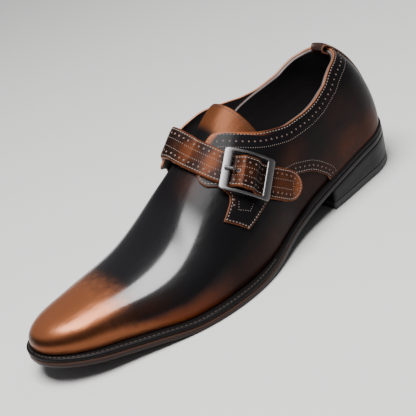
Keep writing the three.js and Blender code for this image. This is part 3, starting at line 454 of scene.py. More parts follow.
strapEdge = plainMaterial("strapEdge", (0.26, 0.08, 0.03), 0.45)
thread = plainMaterial("thread", (0.20, 0.165, 0.145), 0.7)
pinholeRim = plainMaterial("pinholeRim", (0.17, 0.135, 0.115), 0.6)
darkThread = plainMaterial("darkThread", (0.02, 0.015, 0.012), 0.6)
blackThread = plainMaterial("blackThread", (0.02, 0.016, 0.014), 0.6)
punchRim = plainMaterial("punchRim", (0.17, 0.105, 0.078), 0.45)
punchPit = plainMaterial("punchPit", (0.004, 0.003, 0.003), 0.8)
holeEdge = plainMaterial("holeEdge", (0.075, 0.028, 0.012), 0.5)
buckleMetal = plainMaterial("buckleMetal", (0.125, 0.12, 0.12), 0.4, 1.0, brushLines)
print("stage: materials")


# Meshes
def meshPiece(name, points, faces, materials, slots=None, tones=None):
    mesh = bpy.data.meshes.new(name)
    place = (np.asarray(points).reshape(-1, 3) + originShift) / metre
    mesh.from_pydata(place.tolist(), [], [list(map(int, f)) for f in faces])
    for material in materials:
        mesh.materials.append(material)
    if slots is not None:
        mesh.polygons.foreach_set("material_index", np.asarray(slots, np.int32))
    for key, values in (tones or {}).items():
        layer = mesh.attributes.new(key, "FLOAT", "POINT")
        layer.data.foreach_set("value", np.ravel(values).astype(np.float32))
    body = bmesh.new()
    body.from_mesh(mesh)
    bmesh.ops.remove_doubles(body, verts=body.verts, dist=2e-6)
    bmesh.ops.dissolve_degenerate(body, edges=body.edges, dist=1e-7)
    bmesh.ops.recalc_face_normals(body, faces=body.faces)
    body.to_mesh(mesh)
    body.free()
    mesh.polygons.foreach_set("use_smooth", np.ones(len(mesh.polygons), bool))
    mesh.update()
    piece = bpy.data.objects.new(name, mesh)
    bpy.context.scene.collection.objects.link(piece)
    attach(piece, "root")
    return piece


def gridFaces(m, n, start=0, loopM=False, loopN=False):
    i, j = np.meshgrid(np.arange(m if loopM else m - 1), np.arange(n if loopN else n - 1), indexing="ij")
    near, far = start + i * n, start + ((i + 1) % m) * n
    k = (j + 1) % n
    return np.stack([near + j, far + j, far + k, near + k], -1).reshape(-1, 4)


# Closed slab between two grids: faces of slot 0 on top, 1 below and 2 on the edges.
def slabPiece(name, top, low, materials, tones=None, loop=False, shut=None):
    m, n = top.shape[:2]
    upper, lower = gridFaces(m, n, 0, loop), gridFaces(m, n, m * n, loop)
    count = m if loop else m - 1
    i = np.arange(count)
    ring = (i + 1) % m
    edges = []
    for j in (0, n - 1):
        edge = np.stack([i * n + j, ring * n + j, m * n + ring * n + j, m * n + i * n + j], -1)
        edges.append(edge if j == 0 or shut is None else edge[~(shut[i] & shut[ring])])
    if not loop:
        k = np.arange(n - 1)
        for r in (0, m - 1):
            edges.append(np.stack([r * n + k, r * n + k + 1, m * n + r * n + k + 1, m * n + r * n + k], -1))
    rim = np.concatenate(edges)
    slots = np.repeat([0, 1, 2], [len(upper), len(lower), len(rim)])
    points = np.concatenate([top.reshape(-1, 3), low.reshape(-1, 3)])
    both = {key: np.concatenate([np.ravel(v), np.ravel(v)]) for key, v in (tones or {}).items()}
    return meshPiece(name, points, np.concatenate([upper, lower, rim]), materials, slots, both)


def lengthOf(points):
    return np.concatenate([[0], np.cumsum(np.linalg.norm(np.diff(points, axis=0), axis=-1))])


# Rows of a rib: close together near both ends, so that an edge can be rounded, and even between.
edgeSteps = np.array([0, 0.08, 0.2, 0.36, 0.6, 1.0])


def ribRows(length, count):
    middle = np.linspace(edgeSteps[-1], length - edgeSteps[-1], count)
    return np.concatenate([edgeSteps[:-1], middle, (length - edgeSteps[:-1])[::-1]]) / length


# How far the face drops at a distance from the edge, for an edge rounded with a radius
def edgeDrop(distance, radius):
    inside = np.clip(radius - distance, 0, radius)
    return radius - np.sqrt(np.maximum(radius ** 2 - inside ** 2, 0))


# Soft rust spots: amount, station, its spread, place round the last, its spread
rustSpots = [(0.06, 48, 22, 0.72, 0.13), (0.1, 104, 16, 0.73, 0.07)]
instepSpot = (0.08, 172, 9, 0.2, 0.1)
toeCap = {
    "round": [-1, -.76, -.7, -.5, -.2, .2, .44, .56, .7, 1],
    "border": [196, 212, 227, 243, 249, 251, 250, 258, 262, 230],
}
toeBorder = monotoneSpline(toeCap["round"], toeCap["border"])


def spotAt(s, around, amount, station, length, place, width):
    return amount * np.exp(-((s - station) / length) ** 2 - ((around - place) / width) ** 2)


# Rust spots, and a band low on the sides that is partly rust and partly painted warm floor reflection,
# brightest round the toe
def rustAndGlowAt(s, around):
    side = np.abs(around)
    low = smooth(0.76, 0.93, side) * (0.08 + 0.24 * smooth(90, 40, s) + 0.9 * smooth(180, 240, s))
    spots = sum(spotAt(s, side, *spot) for spot in rustSpots)
    return np.clip(low + spots + spotAt(s, around, *instepSpot), 0, 1)


def toeToneAt(s, around):
    return smooth(-12, 18, s - toeBorder(around))


# Most polished along the ridge, and dull on the sides and under the strap
def polishAt(s, around):
    outer = 1 - 0.88 * smooth(0.54, 0.74, around)
    inner = 1 - 0.6 * smooth(0.4, 0.9, -around)
    return np.minimum(outer, inner) * (0.03 + 0.97 * smooth(179, 200, s))


# Dark band round the toe, between the bronze top and the rust and painted floor glow above the welt: partly
# dark burnish, partly painted shade where the toe's side turns away from the light above
def toeBurnishShadeAt(s, around):
    side = np.abs(around)
    band = smooth(0.46, 0.64, side) * (1 - 0.92 * smooth(0.68, 0.84, side))
    return 0.8 * band * smooth(215, 250, s)


# Upper: the hollow wall with its lining
def buildUpper():
    throat = turnOf(opening["along"][-1] * soleLength)
    side = np.unique(np.concatenate([np.linspace(0, throat, 150), np.linspace(throat, 1, 131)]))
    turns = np.concatenate([-side[:0:-1], side[:-1]])
    s = stationOf(turns)
    edge = np.where(turns < 0, openInner(s), openOuter(s))
    crest = np.where(np.abs(turns) < throat - 1e-9, 1 - edge, 1.0)
    share = np.concatenate([[0, 0.004, 0.01], np.linspace(0.02, 1, 84)])
    rise = crest[:, None] * share[None, :]
    turn = np.broadcast_to(turns[:, None], rise.shape)
    station = stationOf(turn)
    around = np.where(turn < 0, -1, 1) * (1 - rise)
    tuck = 0.5 * np.exp(-rise * 90)
    tones = {
        # rust, with painted warm floor reflection low on the sides
        "rustGlowMask": rustAndGlowAt(station, around),
        "toeTone": toeToneAt(station, around),
        # dark burnish and painted shade on the toe's sides
        "toeBurnishShade": toeBurnishShadeAt(station, around),
        "polish": polishAt(station, around),
    }
    top = offLast(turn, rise, -tuck)
    low = offLast(turn, rise, -upperWall)
    materials = [vampLeather, liningLeather, liningEdge]
    piece = slabPiece("vamp", top, low, materials, tones, loop=True, shut=crest > 0.9999)
    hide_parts("upper")


# A quarter: ribs from the lower edge to the top or front edge. Returns what the sewing rows need.
def buildQuarter(name, node, table, side):
    rows = len(table["topAlong"])
    index = np.arange(rows)
    t = np.unique(np.concatenate([np.linspace(0, rows - 1, 10 * (rows - 1) + 1),
                                  rows - 1 - np.array([0.01, 0.025, 0.05])]))
    topTurn, lowTurn = (monotoneSpline(index, turnOf(np.array(table[key]) * soleLength))(t)
                        for key in ("topAlong", "lowAlong"))
    topRound, lowRound = (monotoneSpline(index, table[key])(t) for key in ("topRound", "lowRound"))
    seam = backSeam / 2 / np.linalg.norm(lastPoint(1e-3, 0) - lastPoint(0, 0)) * 1e-3
    station = lambda k: stationOf(np.maximum(lowTurn[:, None] + (topTurn - lowTurn)[:, None] * k, seam))
    around = lambda k: side * (lowRound[:, None] + (topRound - lowRound)[:, None] * k)
    rough = np.linspace(0, 1, 30)[None, :] * np.ones((len(t), 1))
    line = onQuarter(station(rough), around(rough), 0) if side < 0 else onLast(station(rough), around(rough))
    length = np.linalg.norm(np.diff(line, axis=1), axis=-1).sum(1)
    share = np.stack([ribRows(one, 46) for one in length])
    s, w = station(share), around(share)
    fromTop, fromLow = (1 - share) * length[:, None], share * length[:, None]
    endStep = np.linalg.norm(line[-1] - line[-12], axis=-1).mean() / (t[-1] - t[-12])
    fromEnd = (t[-1] - t)[:, None] * endStep + 0 * s
    free = smooth(0.975, 0.95, np.abs(lowRound))[:, None]
    distance = np.minimum(np.minimum(fromTop, fromEnd), fromLow + 50 * (1 - free))
    corner = np.exp(-((s - 134) / 17) ** 2) * smooth(0.6, 0.45, np.abs(w))
    tones = {
        # rust, with painted warm floor reflection low on the heel
        "rustGlowMask": rustAndGlowAt(s, w),
        "polish": 0.02 + 0.11 * smooth(0.3, 0.5, np.abs(w)),
        "edgeTone": np.clip(np.exp(-distance / 0.5) * 0.5 + 0.95 * corner * smooth(6.5, 3, distance), 0, 1),
    }
    thick = gap + quarterThickness - edgeDrop(distance, 0.5)
    lift = standoff(s, w) if side < 0 else 0
    top, low = onLast(s, w, thick + lift), onLast(s, w, gap + lift)
    piece = slabPiece(name, top, low, [quarterLeather, liningLeather, rawEdge], tones)
    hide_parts(node)
    first = np.argmax(lowRound < 0.999)
    return {"row": t, "lowRow": t[first:],
            "topLine": (station(np.ones((len(t), 1)))[:, 0], side * topRound),
            "lowLine": (station(np.zeros((len(t), 1)))[first:, 0], side * lowRound[first:]),
            "endLine": (s[-1], w[-1])}


def tonguePlace(t, k):
    index = np.arange(len(tongueSides["inner"]))
    curve = {key: monotoneSpline(index, tongueSides[key])(t) for key in tongueSides}
    free = t / index[-1]
    corner = tongueCorner * np.maximum(1 - 5 * k, 0) ** 2 * free ** 4
    share = curve["innerAlong"] + (curve["outerAlong"] - curve["innerAlong"]) * k + corner
    around = curve["inner"] + (curve["outer"] - curve["inner"]) * k
    rise = tongueRise * smooth(0, 0.07, tongueLeaves - share) * (1 - smooth(0.08, 0.33, around))
    return share * soleLength, around, rise


def onTongue(t, k, off):
    s, around, rise = tonguePlace(t, k)
    return onLast(s, around, off + rise - upperWall - tongueDepth)


tongueLook = {"width": 62.0, "reachUp": 17.0, "edgeRound": 0.6, "darkFrom": 138.5}


def buildTongue():
    last = len(tongueSides["inner"]) - 1
    t = np.concatenate([np.linspace(0, last - 0.05, 90), last - np.array([0.03, 0.015, 0.006, 0])])
    k = np.concatenate([[0, 0.004, 0.01], np.linspace(0.02, 0.98, 90), [0.99, 0.996, 1]])
    t, k = np.meshgrid(t, k, indexing="ij")
    fromTop = (last - t) * tongueLook["reachUp"]
    distance = np.minimum(fromTop, np.minimum(k, 1 - k) * tongueLook["width"])
    s, around, _ = tonguePlace(t, k)
    tones = {"darkTone": smooth(-3, 3, s - tongueLook["darkFrom"]),
             "edgeTone": 0.6 * smooth(-0.26, -0.33, around) + 0.3 * np.exp(-fromTop / 1.5)}
    top, low = onTongue(t, k, -edgeDrop(distance, tongueLook["edgeRound"])), onTongue(t, k, -tongueThickness)
    piece = slabPiece("tongueFlap", top, low, [tongueLeather, liningLeather, rawEdge], tones)
    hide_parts("tongue")


# Strap coordinates: u along it from the buckle's centre bar, v across it towards the toe
strapRow = np.arange(len(strapLine["along"]))
strapAlong = naturalSpline(strapRow, np.array(strapLine["along"]) * soleLength)
strapRound = naturalSpline(strapRow, strapLine["round"])
strapSteps = np.linspace(0, strapRow[-1], 241)
strapFar = lengthOf(onLast(strapAlong(strapSteps), strapRound(strapSteps)))
buckleFar = strapFar[np.argmax(strapRound(strapSteps) >= buckleRound)]
strapStart, strapEnd = -buckleFar, strapFar[-1] - buckleFar


def strapAxes(u):
    t = np.interp(np.asarray(u, float) + buckleFar, strapFar, strapSteps)
    place = lambda at: onLast(strapAlong(at), strapRound(at))
    origin = place(t)
    forward = unit(place(np.minimum(t + 0.02, strapRow[-1])) - place(np.maximum(t - 0.02, 0)))
    around = strapRound(t)
    normal = lastNormal(np.where(around < 0, -1, 1) * turnOf(strapAlong(t)), 1 - np.abs(around))
    across = unit(np.cross(normal, forward))
    return t, origin, normal, across * np.where(across[..., 1:2] > 0, -1, 1)


# The station and round of points moved over a surface by a distance along a direction
def shifted(place, s, around, direction, distance, roundStep):
    here = place(s, around)
    byStation = (place(s + 0.5, around) - here) / 0.5
    byRound = (place(s, around + roundStep) - here) / roundStep
    dot = lambda p, q: (p * q).sum(-1)
    a, b, c = dot(byStation, byStation), dot(byStation, byRound), dot(byRound, byRound)
    p, q = dot(byStation, direction), dot(byRound, direction)
    scale = distance / (a * c - b * b)
    return s + (p * c - q * b) * scale, around + (q * a - p * b) * scale


def onStrap(u, v, off):
    u, v = np.broadcast_arrays(np.asarray(u, float), np.asarray(v, float))
    t, _, _, across = strapAxes(u)
    return onQuarter(*shifted(onLast, strapAlong(t), strapRound(t), across, v, 0.01), off)


_, buckleOrigin, _, buckleAcross = strapAxes(-buckleLength / 8)


def onBuckle(u, v, off):
    u, v, off = np.broadcast_arrays(np.asarray(u, float), np.asarray(v, float), np.asarray(off, float))
    _, origin, normal, _ = strapAxes(u)
    p = origin + normal * off[..., None]
    aside = ((p - buckleOrigin) * buckleAcross).sum(-1)
    return p + buckleAcross * (v - aside)[..., None]


quarterTop = gap + quarterThickness
strapLow = quarterTop + gap
barHeight = strapLow + chapeThickness + gap + centreBarRadius
strapHump = barHeight + centreBarRadius + chapeThickness + 2 * gap - strapLow
frameLow = strapLow + strapThickness + buckleClearance
holeAt = -(strapHumpTop + strapHumpFall / 2)


def strapUnder(u):
    return strapLow + strapHump * (1 - smooth(strapHumpTop, strapHumpTop + strapHumpFall, np.abs(u)))


def strapHalf(u):
    left = np.clip((strapEnd - u) / strapTipRound, 0, 1)
    return strapWidth / 2 * np.sqrt(np.maximum(1 - (1 - left) ** 2, 0))


def onStrapTop(u, v, off):
    return onStrap(u, v, strapUnder(u) + strapThickness + off)


# Where the strap is lighter in colour: u, half length, amount
strapPatches = [(-41, 7, 0.9), (-23, 4.5, 0.95), (-5, 3, 0.8), (1, 3, 0.35), (25, 9, 0.85), (37, 7, 0.5)]


def buildStrap():
    tip = strapEnd - strapTipRound * (1 - np.cos(np.linspace(np.pi / 2, 0, 40)))
    u = np.concatenate([np.linspace(strapStart, strapEnd - strapTipRound, 300)[:-1], tip])
    half = strapHalf(u)
    q = np.concatenate([[0, 0.08, 0.2, 0.36, 0.6], np.linspace(1.0, strapWidth - 1.0, 44),
                        strapWidth - np.array([0.6, 0.36, 0.2, 0.08, 0])]) / strapWidth * 2 - 1
    across = half[:, None] * q[None, :]
    ulong = np.broadcast_to(u[:, None], across.shape)
    distance = np.maximum(half[:, None] - np.abs(across), 0) + 0 * ulong
    rows = smooth(0.22, 0.75, np.abs(across) / (strapWidth / 2)) * smooth(strapEnd - 9, strapEnd - 15, ulong)
    patches = sum(amount * np.exp(-((ulong - at) / wide) ** 2) for at, wide, amount in strapPatches)
    tones = {"darkTone": np.clip(1.0 - patches + 0.5 * rows * (1 - 0.5 * patches), 0, 1),
             "edgeTone": 0.5 * np.exp(-distance / 0.6) + 0.7 * smooth(strapEnd - 12, strapEnd - 3, ulong)}
    top = onStrapTop(ulong, across, -edgeDrop(distance, 0.7))
    low = onStrap(ulong, across, strapUnder(ulong))
    piece = slabPiece("strapBand", top, low, [strapLeather, liningLeather, strapEdge], tones)
    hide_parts("strap")


# A tube of oval section along a line of points in strap coordinates (u, v, height)
def tubePoints(line, wide, high, place, sides=14):
    line = np.asarray(line, float)
    step = unit(np.gradient(line, axis=0))
    aside = np.where(np.abs(step[:, 1:2]) > 0.7, [[1.0, 0, 0]], [[0, 1.0, 0]])
    up = unit(np.cross(step, aside))
    aside = np.cross(up, step)
    angle = np.linspace(0, 2 * np.pi, sides, endpoint=False)
    body = (line[:, None] + aside[:, None] * (np.cos(angle) * wide / 2)[None, :, None]
            + up[:, None] * (np.sin(angle) * high / 2)[None, :, None])
    return place(body[..., 0], body[..., 1], body[..., 2])


def cappedFaces(m, n, start=0):
    body = gridFaces(m, n, start, loopN=True).tolist()
    return body + [[start + k for k in range(n)], [start + (m - 1) * n + k for k in range(n)]]


# Corner radii of the buckle's outline and of its window
buckleCorners = (2.2, 1.2)


# Flat ring between two rounded rectangles, with a crowned section
def buildBuckle():
    def rounded(halfLength, halfWidth, radius):
        corner, side = np.linspace(0, np.pi / 2, 9), np.linspace(0, 1, 14)[1:-1]
        arcs = []
        for k, (cx, cy) in enumerate([(1, 1), (-1, 1), (-1, -1), (1, -1)]):
            angle = corner + k * np.pi / 2
            centre = np.array([cx * (halfLength - radius), cy * (halfWidth - radius)])
            arcs.append(centre + radius * np.stack([np.cos(angle), np.sin(angle)], -1))
        points = []
        for k, arc in enumerate(arcs):
            follow = arcs[(k + 1) % 4][0]
            points += [arc, arc[-1] + (follow - arc[-1]) * side[:, None]]
        return np.concatenate(points)
    outer = rounded(buckleLength / 2, buckleWidth / 2, buckleCorners[0])
    inner = rounded(buckleLength / 2 - buckleBar, buckleWidth / 2 - buckleRail, buckleCorners[1])
    angle = np.linspace(0, 2 * np.pi, 20, endpoint=False)
    side = 0.5 - 0.5 * np.sign(np.cos(angle)) * np.abs(np.cos(angle)) ** 0.45
    height = frameLow + buckleThickness / 2 * (1 + np.sign(np.sin(angle)) * np.abs(np.sin(angle)) ** 0.7)
    plan = outer[:, None] + (inner - outer)[:, None] * side[None, :, None]
    ring = onBuckle(plan[..., 0], plan[..., 1], height[None, :] + 0 * plan[..., 0])
    railAt = (buckleWidth - buckleRail) / 2
    level = frameLow + buckleThickness / 2
    v = np.concatenate([[-railAt, -railAt], np.linspace(-railAt + 1.4, railAt - 1.4, 9), [railAt, railAt]])
    z = np.concatenate([[level, barHeight + 1.0], np.full(9, barHeight), [barHeight + 1.0, level]])
    bar = tubePoints(np.stack([0 * v, v, z], -1), 2 * centreBarRadius, 2 * centreBarRadius, onBuckle)
    faces = gridFaces(*ring.shape[:2], 0, True, True).tolist()
    faces += cappedFaces(*bar.shape[:2], ring.shape[0] * ring.shape[1])
    points = np.concatenate([ring.reshape(-1, 3), bar.reshape(-1, 3)])
    piece = meshPiece("buckleRing", points, faces, [buckleMetal])
    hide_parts("buckle_frame")


def buildProng():
    hole = centreBarRadius + gap
    half = prongThickness / 2
    rest = frameLow + buckleThickness + gap + half
    near, far = holeAt + prongHole / 2, holeAt - prongHole / 2
    tip = -buckleLength / 2 + buckleBar * 0.3
    knots = np.array([
        [-(hole + prongRing / 2), barHeight], [near, strapUnder(near) - gap - half],
        [far, strapUnder(far) + strapThickness + gap + half], [tip + buckleBar, rest], [tip, rest]])
    u = np.linspace(knots[0, 0], tip, 40)
    z = monotoneSpline(-knots[:, 0], knots[:, 1])(-u)
    arm = tubePoints(np.stack([u, 0 * u, z], -1), prongWidth, prongThickness, onBuckle)
    angle = np.linspace(0, 2 * np.pi, 24, endpoint=False)
    radius = hole + prongRing / 2
    loop = np.stack([radius * np.cos(angle), 0 * angle, barHeight + radius * np.sin(angle)], -1)
    turn = np.linspace(0, 2 * np.pi, 10, endpoint=False)
    out = unit(loop - np.array([0, 0, barHeight]))
    ring = (loop[:, None] + out[:, None] * (prongRing / 2 * np.cos(turn))[None, :, None]
            + np.array([0, 1.0, 0]) * (prongWidth / 2 * np.sin(turn))[None, :, None])
    ring = onBuckle(ring[..., 0], ring[..., 1], ring[..., 2])
    faces = cappedFaces(*arm.shape[:2])
    faces += gridFaces(*ring.shape[:2], arm.shape[0] * arm.shape[1], True, True).tolist()
    points = np.concatenate([arm.reshape(-1, 3), ring.reshape(-1, 3)])
    piece = meshPiece("prongPin", points, faces, [buckleMetal])
    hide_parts("buckle_prong")


# Edge profiles: rows of (inset from the edge, share of the thickness), from the bottom to the top
outsoleEdge = [(3, 0), (1.2, 0), (0.55, 0.03), (0.15, 0.12), (0, 0.28), (0, 0.5), (0, 0.68), (0.12, 0.8),
               (0.3, 0.9), (0.5, 0.96), (0.9, 1), (3, 1)]
weltEdge = [(0.35, 0), (0.1, 0.12), (0, 0.35), (0, 0.6), (0.12, 0.8), (0.4, 0.93), (0.9, 1), (1.6, 1)]


def withHeight(plan, z):
    return np.concatenate([plan, z[..., None]], -1)


# At each station one closed section, with the edge profile on both sides
def buildOutsole():
    turn, across = np.linspace(0, 1, 241)[:, None], np.linspace(0, 1, 7)[1:-1][:, None]
    inset, share = np.array(outsoleEdge, float).T
    outer, inner = (insetOutline(side * turn + 0 * inset, 0 * turn + inset) for side in (1, -1))
    over = outer[:, -1:] + (inner[:, -1:] - outer[:, -1:]) * across
    under = inner[:, :1] + (outer[:, :1] - inner[:, :1]) * across
    plan = np.concatenate([outer, over, inner[:, ::-1], under], 1)
    share = np.concatenate([share, np.full(5, share[-1]), share[::-1], np.full(5, share[0])])
    s = -plan[..., 1]
    points = withHeight(plan, undersideAt(s) + outsoleThickness * share)
    tones = {"foreTone": smooth(150, 200, s),
             "seamTone": smooth(0.72, 0.84, np.broadcast_to(share, s.shape)) * smooth(100, 150, s)}
    piece = meshPiece("outsolePlate", points, cappedFaces(*points.shape[:2]), [soleLeather], tones=tones)
    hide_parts("outsole")


def buildWelt():
    turn = np.linspace(-1, 1, 721)[:-1][:, None]
    s = stationOf(turn)
    inset, share = (column + 0 * s for column in np.array(weltEdge, float).T[:, None])
    inner, crease = weltReach(s) + weltTuck, weltReach(s) - 0.2
    inset = np.concatenate([inset, crease, crease + 0.6, inner, inner], 1)
    share = np.concatenate([share, 0 * s + 1, 0 * s + 1, 0 * s + 1, 0 * s], 1)
    plan = insetOutline(turn + 0 * inset, inset)
    points = withHeight(plan, undersideAt(-plan[..., 1]) + outsoleThickness + gap + weltThickness * share)
    piece = meshPiece("weltStrip", points, gridFaces(*points.shape[:2], 0, True, True), [weltLeather])
    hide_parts("welt")


# Heel block: rows are (share of the height, inset), the outline draws in towards the floor.
def heelBlock(name, node, material, lowOf, highOf, rows):
    last = turnOf(heelLength)
    turn = np.linspace(-last, last, 141)
    breast = np.linspace(0, 1, 26)[1:-1]
    rings = []
    for share, inset in rows:
        s = np.minimum(stationOf(turn), heelLength)
        height = lowOf(s) + (highOf(s) - lowOf(s)) * share
        drawn = 1 - height / (undersideAt(s) - gap)
        n = outlineNormal(turn)
        taper = (heelSideTaper * n[:, 0] ** 2 + heelBackTaper * n[:, 1] ** 2) * drawn + inset
        side = outlinePoint(turn) - n * taper[:, None]
        front = side[-1] + (side[0] - side[-1]) * breast[:, None] + np.array([0, inset])
        side[0, 1] += inset
        side[-1, 1] += inset
        plan = np.concatenate([side, front])
        s = -plan[:, 1]
        rings.append(np.column_stack([plan, lowOf(s) + (highOf(s) - lowOf(s)) * share]))
    points = np.array(rings)
    piece = meshPiece(name, points, cappedFaces(*points.shape[:2]), [material])
    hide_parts(node)


heelLayers, layerGroove = (0.24, 0.47, 0.70), 0.012
liftEdge = [(0, 1.0), (0.02, 0.45), (0.08, 0.15), (0.2, 0), (0.93, 0), (1, 0.2)]


def buildHeel():
    rows = [(0, 1.2), (0.005, 0.3), (0.03, 0.06)]
    for layer in heelLayers:
        rows += [(layer - 0.018, 0), (layer - 0.006, layerGroove), (layer + 0.006, layerGroove),
                 (layer + 0.018, 0)]
    rows += [(0.97, 0.0), (1, 0.25)]
    heelBlock("heelBlock", "heel_stack", heelLeather,
              lambda s: topLiftThickness + gap + 0 * s, lambda s: undersideAt(s) - gap, rows)
    heelBlock("heelLift", "top_lift", liftRubber,
              lambda s: 0 * s, lambda s: topLiftThickness + 0 * s, liftEdge)


def buildBackStrip():
    collar = 1 - opening["outer"][0]
    perRise = np.linalg.norm(lastPoint(0, collar) - lastPoint(0, collar - 0.01)) / 0.01
    perTurn = np.linalg.norm(lastPoint(0.01, 0.5) - lastPoint(0, 0.5)) / 0.01
    outside, inside = quarterTop + gap, -(upperWall + gap)
    rise = [collar * i / 60 for i in range(61)]
    low, high = [outside] * 61, [outside + backStripThickness] * 61
    crown, middle = (outside - inside) / 2, (outside + inside) / 2
    lead = (outside - inside) * 0.25 / perRise
    lowRise, highRise = list(rise), list(rise)
    for angle in np.linspace(0, np.pi, 15):
        for line, offs, radius in ((lowRise, low, crown), (highRise, high, crown + backStripThickness)):
            line.append(collar + lead + radius * math.sin(angle) / perRise)
            offs.append(middle + radius * math.cos(angle))
    for share in np.linspace(0.1, 1, 12):
        down = collar - backTabDrop * share / perRise
        lowRise.append(down)
        highRise.append(down)
        low.append(inside)
        high.append(inside - backStripThickness)
    count = len(low)
    width = backStripWidth + (backTabWidth - backStripWidth) * np.minimum(np.arange(count) / 60, 1) ** 2
    q = np.concatenate([[0, 0.01, 0.025, 0.05], np.linspace(0.08, 0.92, 25), [0.95, 0.975, 0.99, 1]]) * 2 - 1
    turn = (width[:, None] / 2 / perTurn) * q[None, :]
    distance = width[:, None] / 2 * (1 - np.abs(q))[None, :]
    sign = np.where(np.arange(count) >= 61 + 15, -1, 1)[:, None]
    drop = edgeDrop(distance, 0.5) * sign
    top = offLast(turn, np.array(highRise)[:, None] + 0 * turn, np.array(high)[:, None] - drop)
    under = offLast(turn, np.array(lowRise)[:, None] + 0 * turn, np.array(low)[:, None] + 0 * turn)
    tones = {"edgeTone": 0.6 * np.exp(-distance / 0.7) * smooth(45, 61, np.arange(count))[:, None]}
    piece = slabPiece("backStay", top, under, [stripLeather, liningLeather, stripEdge], tones)
    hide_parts("back_strip")
    return perTurn, collar


# Sewing rows: points at even steps along a line of surface coordinates, with a frame at each.
def rowOf(place, a, b, off, spacing):
    a, b = np.broadcast_arrays(np.asarray(a, float), np.asarray(b, float))
    far = lengthOf(place(a, b, off))
    at = np.arange(spacing / 2, far[-1], spacing)
    a1, b1 = np.interp(at, far, a), np.interp(at, far, b)
    point = place(a1, b1, off)
    normal = unit(place(a1, b1, off + 1.0) - point)
    ahead = place(np.interp(at + 0.3, far, a), np.interp(at + 0.3, far, b), off)
    behind = place(np.interp(at - 0.3, far, a), np.interp(at - 0.3, far, b), off)
    step = unit(ahead - behind)
    kept = []
    for i in range(len(at)):
        if not kept or np.linalg.norm(point[kept] - point[i], axis=-1).min() > 0.8 * spacing:
            kept.append(i)
    return point[kept], step[kept], normal[kept]


# A line moved in from an edge over the surface
def insetLine(line, distance, side, place):
    s, around = (np.asarray(v, float) for v in line)
    here = place(s, around)
    normal = unit(place(s, around, 1.0) - here)
    inward = np.cross(normal, unit(np.gradient(here, axis=0))) * side
    s1, around1 = shifted(place, s, around, inward, distance, 0.004)
    nearest = np.linalg.norm(place(s1, around1)[:, None] - here[None, :], axis=-1).min(1)
    kept = (nearest > 0.85 * distance) & (np.abs(around1) < 0.985)
    return s1[kept], around1[kept]


def stitchShape(length, width, height):
    long, ring = np.linspace(-1, 1, 7)[:, None], np.linspace(0, 2 * np.pi, 8, endpoint=False)
    thin = np.sqrt(np.maximum(1 - long ** 4, 0.04))
    points = np.stack([long * length / 2 + 0 * ring, thin * np.cos(ring) * width / 2,
                       thin * np.sin(ring) * height / 2], -1)
    faces = cappedFaces(*points.shape[:2])
    return points.reshape(-1, 3), faces, [0] * len(faces)


# A punched hole: a sunk pit (slot 0) in a raised rim (slot 1)
def holeShape(radius):
    ring = np.linspace(0, 2 * np.pi, 12, endpoint=False)
    profile = [(0.05, 0.05), (0.52, 0.05), (0.62, 0.13), (0.82, 0.16), (1.0, -0.05)]
    points = [np.stack([r * radius * np.cos(ring), r * radius * np.sin(ring), 0 * ring + h], -1)
              for r, h in profile]
    faces = gridFaces(5, 12, 0, loopN=True).tolist() + [list(range(12))]
    return np.concatenate(points), faces, [0] * 12 + [1] * 36 + [0]


def stampPiece(name, shape, rows, materials):
    points, faces, slots = shape
    allPoints, allFaces, allSlots, start = [], [], [], 0
    for point, step, normal in rows:
        aside = unit(np.cross(normal, step))
        body = sum(axis[:, None] * points[None, :, k:k + 1] for k, axis in enumerate((step, aside, normal)))
        allPoints.append((point[:, None] + body).reshape(-1, 3))
        for _ in range(len(point)):
            allFaces += [[v + start for v in face] for face in faces]
            allSlots += slots
            start += len(points)
    piece = meshPiece(name, np.concatenate(allPoints), allFaces, materials, allSlots)


# Rows of the outer quarter's table between which its sewing changes, and the lines on its tab
collarEnd, lobeStart, lobeEnd, arcEnd = 15.2, 18.3, 21.6, 16.0
tabRow = [(157.3, .561), (161, .594), (154.3, .661), (149.2, .656)]
tabPunches = [(158.6, .522), (163.2, .563)]
pinhole, pinholePitch, punchPitch = stitchShape(0.6, 0.55, 0.26), 1.65, 4.2
# Insets of the seam, the punched holes and the pinholes from an edge; 0 leaves a row out
quarterSewing = {
    "collar": (1.6, 6.3, 10.3), "front": (1.6, 0, 0), "lobe": (0, 4.6, 0), "arc": (1.4, 4.2, 7.6),
    "edge": (1.4, 0, 0), "pitches": (2.3, punchPitch, pinholePitch),
    "stitch": (1.35, 0.5, 0.42), "punch": 0.58, "tabPinholePitch": 1.7, "tabPunchPitch": 3.6,
}
strapSewing = {
    "edgeInset": 1.55, "stitch": (1.5, 0.55, 0.45), "pitch": 2.1, "punchInset": 4.4, "punch": 0.66,
    "lane": 2.9, "laneEnd": 5.0, "holes": (0.6, 8.6), "hole": 1.15, "entry": 1.9,
}
tongueSewing = {"inset": 1.9, "stitch": (1.5, 0.62, 0.6), "pitch": 2.3}
weltSewing = {"from": 150, "inset": 1.75, "stitch": (2.2, 0.65, 0.45), "pitch": 3.0}
stripSewing = {"inset": 1.5, "stitch": (1.3, 0.45, 0.4), "pitch": 2.2}


